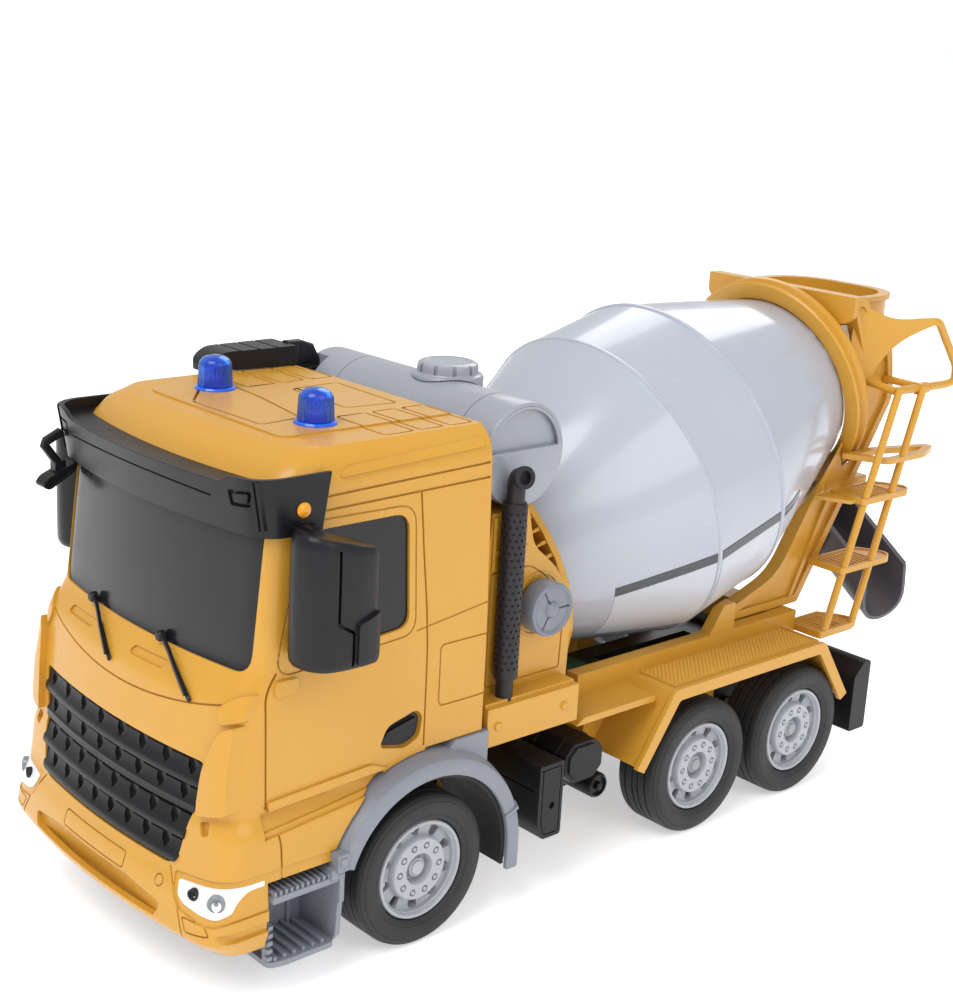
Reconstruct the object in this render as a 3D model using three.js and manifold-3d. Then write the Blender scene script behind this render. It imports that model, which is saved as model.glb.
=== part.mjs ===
// Toy cement mixer truck: three axles, steered front wheels and a turning drum.
// Millimetres. +Z is up, -Y is the front and +X is the truck's left side. Lengths along
// the truck are counted from the front axle, and the last group centres the whole truck.
import * as THREE from 'three';
import { mergeVertices } from 'three/addons/utils/BufferGeometryUtils.js';
import Module from 'manifold-3d';

const wasm = await Module();
wasm.setup();

// Driving dimensions
const GAP = 0.3;
const CENTRE_Y = 91;
const TRUCK_HALF_WIDTH = 69;

const TYRE_RADIUS = 23;
const TYRE_HALF_WIDTH = 8.5;
const RIM_RADIUS = 14.9;
const WHEEL_X = 47.1;
const AXLE_RADIUS = 2;
const FRONT_AXLE_Y = 0;
const MID_AXLE_Y = 119.3;
const REAR_AXLE_Y = 170.1;
const KINGPIN_X = 38;
const TIE_PIN = { x: 34, y: 13 };

const RAIL_INNER_X = 20;
const RAIL_OUTER_X = 24;
const RAIL_BOTTOM = 26;
const RAIL_TOP = 34;
const PLATE_BOTTOM = 31;
const BAY = { halfWidth: 24, front: 44, back: 94, bottom: 15 };

const DRUM_TILT = THREE.MathUtils.degToRad(16.9);
const DRUM_AXIS_HEIGHT = 69.5;
const DRUM = { front: 69, frontRadius: 30.5, belly: 124.3, bellyRadius: 54.2, wall: 2 };
const DRUM_REAR = { shoulder: 156.5, shoulderRadius: 53.5, mouth: 217.6, mouthRadius: 32.7 };
const CROWN = { teeth: 60, inner: 31.5, outer: 42.5, tip: 62, root: 66.5, back: 68.7 };
const CROWN_TOOTH = { from: 36, to: 41.8, halfFoot: 0.66, halfTip: 0.25 };
const PINION = { teeth: 16, tip: 11.3, root: 8.1, from: 37.5, to: 41.5 };
const KNOB = { y: 49.5, z: 90.5, radius: 8.3, outerX: 52, shaftRadius: 2.5 };
const MOTOR_Y = 154.1;
const TANK = { y: 41, z: 137, radius: 15.5, right: -48, left: 44 };

const ARCH = { y: 1.5, z: 22.5, inner: 29.5, outer: 34.5, cut: 36 };
// U-shaped chute on a pivot pin; a negative aim turns its mouth towards the front
const CHUTE = {
  y: 244, z: 79, slope: 28, aim: -12, halfWidth: 10.3, wall: 1.4, back: -10, end: 51,
};

const CAB_REAR = 22.6;
const CAB_WALL = 2;
const CAB_PLAN_FRONT = -68;
const CAB_HALF = 52;

// Height, front face and half width of the cab at each level, from the bumper to the roof
const CAB_LEVELS = [
  { z: 17, front: -70, half: 53.5 },
  { z: 22, front: -76, half: 55.5 },
  { z: 32, front: -74, half: 55.5 },
  { z: 38, front: -71.5, half: 54.5 },
  { z: 50, front: -69.8, half: 53.8 },
  { z: 55, front: -69, half: 52.2 },
  { z: 68, front: -68, half: 52 },
  { z: 84, front: -65, half: 52 },
  { z: 92.7, front: -60, half: 51.8 },
  { z: 129, front: -56.5, half: 50.6 },
  { z: 141, front: -52, half: 50.2 },
  { z: 146.5, front: -47, half: 48.5 },
  { z: 149, front: -41, half: 44 },
];
const VISOR_LEVELS = [
  { z: 129, front: -59.2, half: 51.9 },
  { z: 142, front: -61.5, half: 51.9 },
];

// Outlines of the cab's openings: (x, z) on the front, (y, z) on the sides, then the rounding
const WINDSHIELD_CORNERS = [[-47.5, 92.5, 4], [47.5, 92.5, 4], [47, 134, 2], [-47, 134, 2]];
const SIDE_WINDOW_CORNERS = [[-47, 94, 4], [-5.9, 97, 4], [-6.6, 129, 4], [-39.5, 129, 4]];
const GRILLE_CORNERS = [[-32, 36, 5], [32, 36, 5], [42, 68.5, 5], [-42, 68.5, 5]];
const HEADLIGHT_CORNERS = [
  [35.5, 33.5, 1], [36.5, 26, 2], [47, 23.5, 3], [54, 30, 2], [55.3, 38, 1],
];

// Colours and finishes
const YELLOW = { color: 0xe9ac4e, roughness: 0.42, metalness: 0 };
const GREY = { color: 0x8b8f96, roughness: 0.45, metalness: 0 };
const DRUM_GREY = { color: 0xc3c8cd, roughness: 0.28, metalness: 0.05 };
const RIM_SILVER = { color: 0xa9abae, roughness: 0.38, metalness: 0.25 };
const BLACK = { color: 0x26272a, roughness: 0.45, metalness: 0 };
const RUBBER = { color: 0x38393b, roughness: 0.75, metalness: 0 };
const GLASS_BLACK = { color: 0x303133, roughness: 0.3, metalness: 0 };
const BLUE = { color: 0x0b2fa8, roughness: 0.12, metalness: 0 };
const LAMP_CLEAR = { color: 0xdfe4e8, roughness: 0.15, metalness: 0.1 };
const STEEL = { color: 0x9c9ea1, roughness: 0.35, metalness: 0.9 };
const NYLON = { color: 0xd9d6cc, roughness: 0.5, metalness: 0 };
const BOARD_GREEN = { color: 0x1f5b3a, roughness: 0.5, metalness: 0 };
const CELL_BLUE = { color: 0x1d4f8f, roughness: 0.4, metalness: 0 };

// A closed solid from any closed three.js geometry
function solid(geometry) {
  const bare = geometry.index ? geometry.toNonIndexed() : geometry.clone();
  bare.deleteAttribute('normal');
  bare.deleteAttribute('uv');
  const merged = mergeVertices(bare, 1e-4);
  const mesh = new wasm.Mesh({
    numProp: 3,
    vertProperties: new Float32Array(merged.attributes.position.array),
    triVerts: new Uint32Array(merged.index.array),
  });
  return new wasm.Manifold(mesh);
}

function join(parts) {
  return parts.reduce((whole, piece) => whole.add(piece));
}

function cut(body, tools) {
  return tools.reduce((rest, tool) => rest.subtract(tool), body);
}

function moved(geometry, matrix) {
  return solid(geometry.applyMatrix4(matrix));
}

function box(x0, x1, y0, y1, z0, z1) {
  const block = new THREE.BoxGeometry(x1 - x0, y1 - y0, z1 - z0);
  return solid(block.translate((x0 + x1) / 2, (y0 + y1) / 2, (z0 + z1) / 2));
}

// The same box on both sides of the centre line
function boxPair(x0, x1, y0, y1, z0, z1) {
  return [box(x0, x1, y0, y1, z0, z1), box(-x1, -x0, y0, y1, z0, z1)];
}

// Corners are [u, v] or [u, v, r]; r is how far the rounding starts from the corner
function outline(corners) {
  const shape = new THREE.Shape();
  corners.forEach(([u, v, r = 0], i) => {
    const [pu, pv] = corners[(i + corners.length - 1) % corners.length];
    const [nu, nv] = corners[(i + 1) % corners.length];
    const before = new THREE.Vector2(pu - u, pv - v).setLength(r);
    const after = new THREE.Vector2(nu - u, nv - v).setLength(r);
    const start = i === 0 ? 'moveTo' : 'lineTo';
    shape[start](u + before.x, v + before.y);
    if (r > 0) {
      shape.quadraticCurveTo(u, v, u + after.x, v + after.y);
    }
  });
  shape.closePath();
  return shape;
}

function extrude(shape, depth, curveSegments = 4) {
  return new THREE.ExtrudeGeometry(shape, { depth, curveSegments, bevelEnabled: false });
}

// Prisms along each axis: the outline is (y, z) along X, (x, z) along Y and (x, y) along Z
function prismX(corners, x0, x1) {
  const turn = new THREE.Matrix4().set(0, 0, 1, x0, 1, 0, 0, 0, 0, 1, 0, 0, 0, 0, 0, 1);
  return moved(extrude(outline(corners), x1 - x0), turn);
}

function prismY(corners, y0, y1) {
  const turn = new THREE.Matrix4().set(1, 0, 0, 0, 0, 0, -1, y1, 0, 1, 0, 0, 0, 0, 0, 1);
  return moved(extrude(outline(corners), y1 - y0), turn);
}

function prismZ(corners, z0, z1) {
  return solid(extrude(outline(corners), z1 - z0).translate(0, 0, z0));
}

// A round bar between two points
function rod(from, to, radius, segments = 12) {
  const a = new THREE.Vector3(...from);
  const b = new THREE.Vector3(...to);
  const along = b.clone().sub(a);
  const bar = new THREE.CylinderGeometry(radius, radius, along.length(), segments);
  const turn = new THREE.Quaternion();
  turn.setFromUnitVectors(new THREE.Vector3(0, 1, 0), along.clone().normalize());
  const middle = a.add(b).multiplyScalar(0.5);
  return moved(bar, new THREE.Matrix4().compose(middle, turn, new THREE.Vector3(1, 1, 1)));
}

// A bent bar through several points, with a ball at each bend
function bentRod(points, radius, segments = 8) {
  const bars = points.slice(1).map((p, i) => rod(points[i], p, radius, segments));
  const balls = points.slice(1, -1).map((p) => {
    return solid(new THREE.SphereGeometry(radius * 1.1, 5, 3).translate(...p));
  });
  return join([...bars, ...balls]);
}

// A turned part. The profile lists [radius, distance along the axis] and closes on itself.
function turned(profile, segments, matrix) {
  const closed = profile[0][0] === 0 ? profile : [...profile, profile[0]];
  const points = closed.map(([r, s]) => new THREE.Vector2(r, s));
  return moved(new THREE.LatheGeometry(points, segments), matrix);
}

// Puts a turned part's axis along X, Z or the drum's axis
function alongX(x, y, z) {
  return new THREE.Matrix4().makeTranslation(x, y, z).multiply(
    new THREE.Matrix4().makeRotationZ(-Math.PI / 2));
}

function alongZ(x, y, z) {
  return new THREE.Matrix4().makeTranslation(x, y, z).multiply(
    new THREE.Matrix4().makeRotationX(Math.PI / 2));
}

function alongDrum() {
  return new THREE.Matrix4().makeTranslation(0, 0, DRUM_AXIS_HEIGHT).multiply(
    new THREE.Matrix4().makeRotationX(DRUM_TILT));
}

function mirrored(body) {
  return body.mirror([1, 0, 0]);
}

const truck = new THREE.Group();
truck.position.y = -CENTRE_Y;

function addPart(name, body, finish) {
  const { vertProperties, triVerts } = body.getMesh();
  const geometry = new THREE.BufferGeometry();
  geometry.setAttribute('position', new THREE.BufferAttribute(vertProperties, 3));
  geometry.setIndex(new THREE.BufferAttribute(triVerts, 1));
  geometry.computeVertexNormals();
  const mesh = new THREE.Mesh(geometry, new THREE.MeshStandardMaterial(finish));
  mesh.name = name;
  truck.add(mesh);
}

// A left part and its mirror image
function addPair(name, body, finish) {
  addPart(`${name}_left`, body, finish);
  addPart(`${name}_right`, mirrored(body), finish);
}

// The cab's outer form, made smaller by an inset, from a plan with a bowed front
function cabForm(levels, inset, topInset = inset) {
  const half = CAB_HALF;
  const plan = new THREE.Shape();
  plan.moveTo(-half, CAB_REAR);
  plan.lineTo(half, CAB_REAR);
  plan.lineTo(half, CAB_PLAN_FRONT + 14);
  plan.quadraticCurveTo(half, CAB_PLAN_FRONT + 5.5, half - 8, CAB_PLAN_FRONT + 4);
  plan.quadraticCurveTo(0, CAB_PLAN_FRONT - 4, 8 - half, CAB_PLAN_FRONT + 4);
  plan.quadraticCurveTo(-half, CAB_PLAN_FRONT + 5.5, -half, CAB_PLAN_FRONT + 14);
  plan.closePath();
  const steps = levels.length - 1;
  const settings = { depth: steps, steps, curveSegments: 3, bevelEnabled: false };
  const form = new THREE.ExtrudeGeometry(plan, settings);
  const place = form.attributes.position;
  for (let i = 0; i < place.count; i += 1) {
    const index = Math.round(place.getZ(i));
    const level = levels[index];
    const x = place.getX(i) * ((level.half - inset) / half);
    const shift = place.getY(i) < 0 ? level.front + inset - CAB_PLAN_FRONT : -inset;
    const top = index === steps ? topInset : 0;
    place.setXYZ(i, x, place.getY(i) + shift, level.z - top);
  }
  return solid(form);
}

// Moves an outline's corners towards or away from its middle
function grown(corners, by) {
  const midU = corners.reduce((sum, p) => sum + p[0], 0) / corners.length;
  const midV = corners.reduce((sum, p) => sum + p[1], 0) / corners.length;
  const away = (value, middle) => value + by * Math.sign(value - middle);
  return corners.map(([u, v, r]) => [away(u, midU), away(v, midV), r]);
}

function cabShell() {
  const outer = cabForm(CAB_LEVELS, 0);
  const hollow = cabForm([{ z: 10, front: -70, half: 54 }, ...CAB_LEVELS.slice(1)], CAB_WALL);
  const underside = box(-60, 60, -53, 30, 0, 36);
  const arch = rod([28, ARCH.y, ARCH.z], [60, ARCH.y, ARCH.z], ARCH.cut + GAP, 30);
  const sill = box(-60, 60, ARCH.y, 30, 30, 59.6);
  const windows = prismX(SIDE_WINDOW_CORNERS, -60, 60);
  const windshield = prismY(WINDSHIELD_CORNERS, -80, -30);
  const grille = prismY(GRILLE_CORNERS, -80, -50);
  const lamp = prismY(HEADLIGHT_CORNERS, -80, -54);
  const plate = box(-19, 19, -80, -74.3, 22, 29);
  const slot = box(-34, 34, -80, -70, 18.3, 20.3);
  return cut(outer, [
    hollow, underside, arch, mirrored(arch), sill, windows, windshield, grille, lamp,
    mirrored(lamp), plate, slot,
  ]);
}

// A curved panel that follows the cab's form inside an opening
function cabPanel(depth0, depth1, opening) {
  return cut(cabForm(CAB_LEVELS, depth0), [cabForm(CAB_LEVELS, depth1)]).intersect(opening);
}

function addCab() {
  addPart('cab_shell', cabShell(), YELLOW);
  const screen = prismY(grown(WINDSHIELD_CORNERS, -GAP), -80, -30);
  addPart('windshield', cabPanel(0.5, 1.9, screen), GLASS_BLACK);
  const pane = prismX(grown(SIDE_WINDOW_CORNERS, -GAP), 40, 60);
  addPair('side_window', cabPanel(0.9, 1.9, pane), GLASS_BLACK);
  const mesh = prismY(grown(GRILLE_CORNERS, -GAP), -80, -50);
  addPart('grille', cabPanel(-0.6, 1.8, mesh), BLACK);
  const lamp = prismY(grown(HEADLIGHT_CORNERS, -GAP), -80, -54);
  addPair('headlight', cabPanel(0.3, 1.8, lamp), LAMP_CLEAR);
}

// Peaked band over the windshield that follows the cab's bowed front
function sunVisor() {
  const [low, high] = VISOR_LEVELS;
  const outer = cabForm(VISOR_LEVELS, 0, 0);
  const inner = cabForm([{ ...low, z: low.z - 1 }, { ...high, z: high.z - 1.4 }], 1.5, 0);
  const ends = prismX([[-80, 128.5], [-36.6, 128.5], [-33.9, 142.5], [-80, 142.5]], -60, 60);
  return cut(outer, [inner, cabForm(CAB_LEVELS, -GAP)]).intersect(ends);
}

// Wiper parked down over the front panel; it leans outwards from its pivot
function wiper(x) {
  const arm = prismY([[x, 94.4], [x + 18, 84.8], [x + 18, 83.4], [x, 92.2]], -80, -50);
  return cut(cabForm(CAB_LEVELS, -1.4), [cabForm(CAB_LEVELS, -GAP)]).intersect(arm);
}

// Door mirror: a rounded housing on an arm that starts behind the visor's end
function doorMirror() {
  const housing = prismZ([[54, -46, 2], [60, -49, 3], [67.5, -46, 4], [TRUCK_HALF_WIDTH, -36, 3],
    [68, -28.5, 3], [59, -31, 3]], 97, 132);
  const arm = prismY([[52.6, 121], [56, 121], [56, 127], [52.6, 127]], -43, -38);
  return join([housing, arm]);
}

function kerbMirror() {
  const arm = bentRod([[-48, -56.2, 135], [-48, -61, 132], [-48.3, -57.5, 124]], 1.1, 6);
  const paddle = prismX([[-52, 127], [-52, 124], [-61, 119.8], [-63, 121], [-61, 123.2]], -51, -46);
  return join([arm, paddle]);
}

function beacon(x) {
  const profile = [[0, 0], [6, 0], [6, 1.2], [5.2, 1.4], [4.8, 8.3], [3.4, 9.9], [0, 10.3]];
  return turned(profile, 16, alongZ(x, -19, 149 + GAP));
}

// Black snorkel box on the right edge of the roof, with its pipe behind the cab
function airIntake() {
  const side = [[-10, 149.3], [-3, 155], [24, 155, 2], [24, 149.3]];
  const plan = [[-44.5, -10], [-42, 11], [-42, 24], [-55, 24], [-55, -5], [-52, -10]];
  const filterBox = prismX(side, -60, -40).intersect(prismZ(plan, 140, 160));
  const elbow = [[22.9, 149.3], [22.9, 152], [34, 152, 4], [34, 138], [26, 138], [26, 149.3]];
  return join([filterBox, prismX(elbow, -52, -43)]);
}

function exhaustStack() {
  const stack = rod([48, 34.5, 72], [48, 34.5, 124], 3.7, 12);
  const bend = bentRod([[48, 34.5, 122], [49, 34.3, 129], [52, 33.5, 133.5]], 3.3, 10);
  const foot = rod([48, 34.5, 65.1], [48, 34.5, 73], 2.6, 10);
  const mouth = rod([50.4, 33.9, 131.2], [53, 33.2, 135.2], 2.4, 10);
  return cut(join([stack, bend, foot]), [mouth]);
}

// Wheel arch, its rear leg and the entry steps in front of it, for the left side
function cabFender() {
  const a = ARCH;
  const ring = cut(rod([32, a.y, a.z], [57.3, a.y, a.z], a.outer, 30), [
    rod([30, a.y, a.z], [60, a.y, a.z], a.inner, 30),
    box(30, 60, -40, 40, -20, a.z - 6),
    box(30, 60, -40, a.y, -20, 31),
  ]);
  const rim = cut(rod([48, a.y, a.z], [54, a.y, a.z], a.cut, 30), [
    rod([30, a.y, a.z], [60, a.y, a.z], a.inner, 30),
    box(30, 60, -40, 40, -20, 36),
  ]);
  const leg = prismX([[30.9, 14.5], [34.6, 14.5], [35.2, 30], [33, 34], [29.5, 31]], 44, 57.3);
  const patch = prismX([[4, 52], [12, 59.3], [24.6, 59.3], [24.6, 46]], 49, 53);
  const corner = prismX([[-37, 31.5], [-28, 31.5], [-27, 35.6], [-37, 35.6]], 46, 57);
  const steps = [
    box(36, 56, -52.5, -29.5, 10.3, 12.8),
    box(36, 38, -52.5, -29.5, 12, 34),
    box(38, 56, -31.5, -29.5, 12, 32),
    box(36, 56, -52.5, -28.7, 31, 34.8),
    box(36, 55, -52.5, -47, 22, 32),
  ];
  return join([ring, rim, leg, patch, corner, ...steps]);
}

function cabTop() {
  addPart('sun_visor', sunVisor(), BLACK);
  addPart('wiper_left', wiper(14), BLACK);
  addPart('wiper_right', wiper(-22), BLACK);
  addPair('door_mirror', doorMirror(), BLACK);
  addPart('kerb_mirror', kerbMirror(), BLACK);
  addPart('beacon_left', beacon(24.4), BLUE);
  addPart('beacon_right', beacon(-24.4), BLUE);
  addPart('air_intake', airIntake(), BLACK);
  addPart('exhaust_stack', exhaustStack(), BLACK);
  addPair('cab_fender', cabFender(), GREY);
}

// Chassis: two rails, a top plate, axle bearings and the battery bay
function chassisFrame() {
  const side = [[-44, RAIL_BOTTOM], [200.7, RAIL_BOTTOM], [200.7, RAIL_TOP], [-44, RAIL_TOP]];
  const rail = prismX(side, RAIL_INNER_X, RAIL_OUTER_X);
  const bearings = [MID_AXLE_Y, REAR_AXLE_Y].map((y) => {
    return box(RAIL_INNER_X, RAIL_OUTER_X, y - 4.5, y + 4.5, 18.5, RAIL_BOTTOM + 1);
  });
  const half = join([rail, ...bearings]);
  const plate = box(-RAIL_INNER_X - 1, RAIL_INNER_X + 1, -44, 200.7, PLATE_BOTTOM, RAIL_TOP);
  const bay = box(-BAY.halfWidth, BAY.halfWidth, BAY.front, BAY.back, BAY.bottom, RAIL_BOTTOM + 1);
  const shelf = box(-14, 14, 28, BAY.front + 1, BAY.bottom, BAY.bottom + 2);
  const body = join([half, mirrored(half), plate, bay, shelf]);
  const inside = box(-19.5, 19.5, BAY.front + 2, BAY.back - 2, 10, PLATE_BOTTOM);
  const gearWindow = box(-16, 16, 140, 190, 30, 36);
  const tieRodNotch = box(-30, 30, 6.5, 17.5, 20, PLATE_BOTTOM);
  const axleHoles = [MID_AXLE_Y, REAR_AXLE_Y].map((y) => {
    return rod([-30, y, TYRE_RADIUS], [30, y, TYRE_RADIUS], AXLE_RADIUS + GAP, 16);
  });
  const switchSlot = box(-1.8, 1.8, 33.8, 41, 10, 20);
  return cut(body, [inside, gearWindow, tieRodNotch, ...axleHoles, switchSlot]);
}

function batteryPack() {
  const cells = [-11, 0, 11].map((x) => rod([x, 46.8, 24], [x, 91.3, 24], 5.25, 12));
  return join([...cells, box(-11, 11, 46.8, 91.3, 21, 27)]);
}

function powerSwitch() {
  return join([box(-4, 4, 33.8, 38.3, 12.6, 14.7), box(-1.5, 1.5, 34.3, 37.8, 14, 18.4)]);
}

// A straight-toothed gear about X, with its first tooth pointing along the given angle
function gear(teeth, tip, root, x0, x1, y, z, firstAngle, bore) {
  const points = [];
  const pitch = (2 * Math.PI) / teeth;
  for (let k = 0; k < teeth; k += 1) {
    [[root, -0.3], [tip, -0.12], [tip, 0.12], [root, 0.3]].forEach(([r, part]) => {
      const angle = firstAngle + (k + part) * pitch;
      points.push([y + r * Math.cos(angle), z + r * Math.sin(angle)]);
    });
  }
  return cut(prismX(points, x0, x1), [rod([x0 - 1, y, z], [x1 + 1, y, z], bore, 12)]);
}

function gearboxHousing() {
  const tub = cut(box(-15.5, 15.5, 141, 189, 7.7, 30.5), [box(-13.5, 13.5, 143, 187, 9.7, 32)]);
  const axle = [[-20, REAR_AXLE_Y, TYRE_RADIUS], [20, REAR_AXLE_Y, TYRE_RADIUS]];
  return cut(tub, [rod(...axle, AXLE_RADIUS + GAP)]);
}

function driveMotor() {
  const can = rod([-13, MOTOR_Y, TYRE_RADIUS], [-3.5, MOTOR_Y, TYRE_RADIUS], 7, 16);
  return cut(can, [rod([-10, MOTOR_Y, TYRE_RADIUS], [0, MOTOR_Y, TYRE_RADIUS], 1.3, 10)]);
}

function motorPinion() {
  const teeth = gear(10, 4.9, 2.9, -2, 2, MOTOR_Y, TYRE_RADIUS, Math.PI / 10, 0.9);
  return join([teeth, rod([-9.5, MOTOR_Y, TYRE_RADIUS], [3, MOTOR_Y, TYRE_RADIUS], 1, 10)]);
}

function addChassis() {
  addPart('chassis_frame', chassisFrame(), BLACK);
  addPart('battery_pack', batteryPack(), CELL_BLUE);
  const cover = box(-BAY.halfWidth, BAY.halfWidth, BAY.front + 0.5, BAY.back, 12.7, 14.7);
  addPart('battery_cover', cover, BLACK);
  addPart('power_switch', powerSwitch(), NYLON);
  addPart('steering_servo', box(-10, 10, 16, 38, RAIL_TOP + GAP, 50), BLACK);
  addPart('circuit_board', box(-18, 18, 98, 130, RAIL_TOP + GAP, 36), BOARD_GREEN);
  addPart('gearbox_housing', gearboxHousing(), GREY);
  addPart('drive_motor', driveMotor(), STEEL);
  addPart('motor_pinion', motorPinion(), NYLON);
  const wheelGear = gear(30, 12.8, 10.9, -2, 2, REAR_AXLE_Y, TYRE_RADIUS, 0, AXLE_RADIUS + GAP);
  addPart('drive_gear', wheelGear, NYLON);
}

// Front axle beam with an eye for each kingpin
function frontAxleBeam() {
  const eyes = [-KINGPIN_X, KINGPIN_X];
  const bar = box(-35, 35, -4, 4, 20.3, 25.7);
  const rings = eyes.map((x) => rod([x, 0, 20.3], [x, 0, 25.7], 4, 16));
  const holes = eyes.map((x) => rod([x, 0, 15], [x, 0, 30], 1.8, 12));
  return cut(join([bar, ...rings]), holes);
}

function steeringKnuckle() {
  const top = box(34, 43.8, -3.5, 3.5, 26, 28.5);
  const bottom = box(34, 43.8, -3.5, 3.5, 17.5, 20);
  const wall = box(42.3, 43.8, -3.5, 3.5, 17.5, 28.5);
  const kingpin = rod([KINGPIN_X, 0, 18], [KINGPIN_X, 0, 28], 1.5);
  const spindle = rod([43, 0, TYRE_RADIUS], [53, 0, TYRE_RADIUS], AXLE_RADIUS, 14);
  const arm = box(32.2, 35.8, 2, TIE_PIN.y + 1.8, 26, 28.5);
  const pin = rod([TIE_PIN.x, TIE_PIN.y, 28], [TIE_PIN.x, TIE_PIN.y, 30.6], 1.2, 10);
  return join([top, bottom, wall, kingpin, spindle, arm, pin]);
}

function tieRod() {
  const slot = (x) => box(x - 1.8, x + 1.8, 9.3, 15.2, 27, 32);
  return cut(box(-37.2, 37.2, 7.9, 16.6, 28.8, 30.6), [slot(TIE_PIN.x), slot(-TIE_PIN.x)]);
}

function tyre(side, y) {
  const w = TYRE_HALF_WIDTH;
  const bead = RIM_RADIUS + GAP;
  const r = TYRE_RADIUS;
  const profile = [[bead, -7], [r - 2, -w], [r, 2 - w], [r, w - 2], [r - 2, w], [bead, 7]];
  return turned(profile, 22, alongX(side * WHEEL_X, y, r));
}

// Wheel with a sunken disc, ten hand holes and a raised hub; its face points along +X
function rimLeft(y) {
  const r = RIM_RADIUS;
  const bore = AXLE_RADIUS + GAP;
  const profile = [[bore, -3], [5, -3], [5, 3], [13.1, 3], [13.1, -7.5], [r, -7.5], [r, 7.3],
    [13.6, 7.3], [13, 4.8], [9.3, 4.8], [9, 6.4], [bore, 6.4]];
  const disc = turned(profile, 15, alongX(WHEEL_X, y, TYRE_RADIUS));
  const holes = Array.from({ length: 10 }, (_, k) => {
    const angle = (k * Math.PI) / 5;
    const hy = y + 11.2 * Math.cos(angle);
    const hz = TYRE_RADIUS + 11.2 * Math.sin(angle);
    return rod([WHEEL_X + 2, hy, hz], [WHEEL_X + 8, hy, hz], 1.6, 5);
  });
  return cut(disc, holes);
}

function addWheels() {
  addPart('front_axle_beam', frontAxleBeam(), BLACK);
  addPair('steering_knuckle', steeringKnuckle(), NYLON);
  addPart('tie_rod', tieRod(), BLACK);
  const rows = { front: FRONT_AXLE_Y, mid: MID_AXLE_Y, rear: REAR_AXLE_Y };
  Object.entries(rows).forEach(([row, y]) => {
    addPart(`tyre_${row}_left`, tyre(1, y), RUBBER);
    addPart(`tyre_${row}_right`, tyre(-1, y), RUBBER);
    addPair(`rim_${row}`, rimLeft(y), RIM_SILVER);
  });
  const axle = (y) => rod([-53.4, y, TYRE_RADIUS], [53.4, y, TYRE_RADIUS], AXLE_RADIUS, 14);
  addPart('mid_axle', axle(MID_AXLE_Y), STEEL);
  addPart('rear_axle', axle(REAR_AXLE_Y), STEEL);
}

// Distance along and square to the drum's axis, as a point on the centre plane
function drumPoint(along, above) {
  const y = along * Math.cos(DRUM_TILT) - above * Math.sin(DRUM_TILT);
  const z = DRUM_AXIS_HEIGHT + along * Math.sin(DRUM_TILT) + above * Math.cos(DRUM_TILT);
  return [0, y, z];
}

// Room that the crown gear turns in
function crownWell() {
  return rod(drumPoint(CROWN.tip - 1.2, 0), drumPoint(90, 0), CROWN.outer + 1, 30);
}

// Yellow housing between cab and drum: a wide base, a tower and a well for the crown gear
function driveHousing() {
  const tower = [
    [28, 64], [64, 64], [64.5, 84, 5], [60, 98, 8], [47, 109, 3], [44, 121], [30, 121], [28, 100],
  ];
  const base = box(-52, 52, 25, 62, 53, 64.8);
  const body = join([base, prismX(tower, -44, 44)]);
  const inside = join([box(-42, 42, 31, 59, 56, 104), box(-20, 20, 33, 42, 60, 118)]);
  const legs = boxPair(RAIL_OUTER_X + GAP, 30, 31, 43, 28, 54);
  const tank = rod([-60, TANK.y, TANK.z], [60, TANK.y, TANK.z], TANK.radius + GAP, 28);
  const shaft = rod([30, KNOB.y, KNOB.z], [60, KNOB.y, KNOB.z], KNOB.shaftRadius + GAP, 14);
  const pinion = rod([36.5, KNOB.y, KNOB.z], [43.2, KNOB.y, KNOB.z], PINION.tip + 0.8, 20);
  return join([cut(body, [inside, crownWell(), tank, shaft, pinion]), ...legs]);
}

// A lying cylinder; the upper half of its left end is sunk, and the intake pipe clips its back
function waterTank() {
  const t = TANK;
  const barrel = rod([t.right, t.y, t.z], [t.left, t.y, t.z], t.radius, 28);
  const recess = rod([t.left - 1.5, t.y, t.z], [60, t.y, t.z], t.radius - 1.8, 24);
  const upper = box(t.left - 2, 60, 20, 60, t.z + 1, 160);
  const pipeRoom = box(-56, -41, 20, 34.3, 130, 160);
  return cut(barrel, [recess.intersect(upper), pipeRoom, crownWell()]);
}

function tankCap() {
  const seat = Math.sqrt(TANK.radius ** 2 - 25);
  const foot = TANK.z + seat - 4;
  const profile = [[0, foot], [11, foot], [11, 153], [9.3, 153.8], [9.3, 156.6], [0, 156.6]];
  const cap = turned(profile, 20, alongZ(3, 46, 0));
  return cut(cap, [rod([-20, TANK.y, TANK.z], [20, TANK.y, TANK.z], TANK.radius + GAP, 28)]);
}

function drumShell() {
  const d = DRUM;
  const e = DRUM_REAR;
  const midway = (d.front + d.belly) / 2;
  const midRadius = (d.frontRadius + d.bellyRadius) / 2 + 1;
  const profile = [
    [0, d.front], [d.frontRadius, d.front], [midRadius, midway], [d.bellyRadius, d.belly],
    [e.shoulderRadius, e.shoulder], [e.mouthRadius, e.mouth], [e.mouthRadius - d.wall, e.mouth],
    [e.shoulderRadius - d.wall, e.shoulder], [d.bellyRadius - d.wall, d.belly],
    [d.frontRadius - d.wall, d.front + d.wall], [0, d.front + d.wall],
  ];
  return turned(profile, 30, alongDrum());
}

// How far the knob's shaft passes above the drum's axis
function knobOffset() {
  const rise = KNOB.z - DRUM_AXIS_HEIGHT;
  return rise * Math.cos(DRUM_TILT) - KNOB.y * Math.sin(DRUM_TILT);
}

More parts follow.
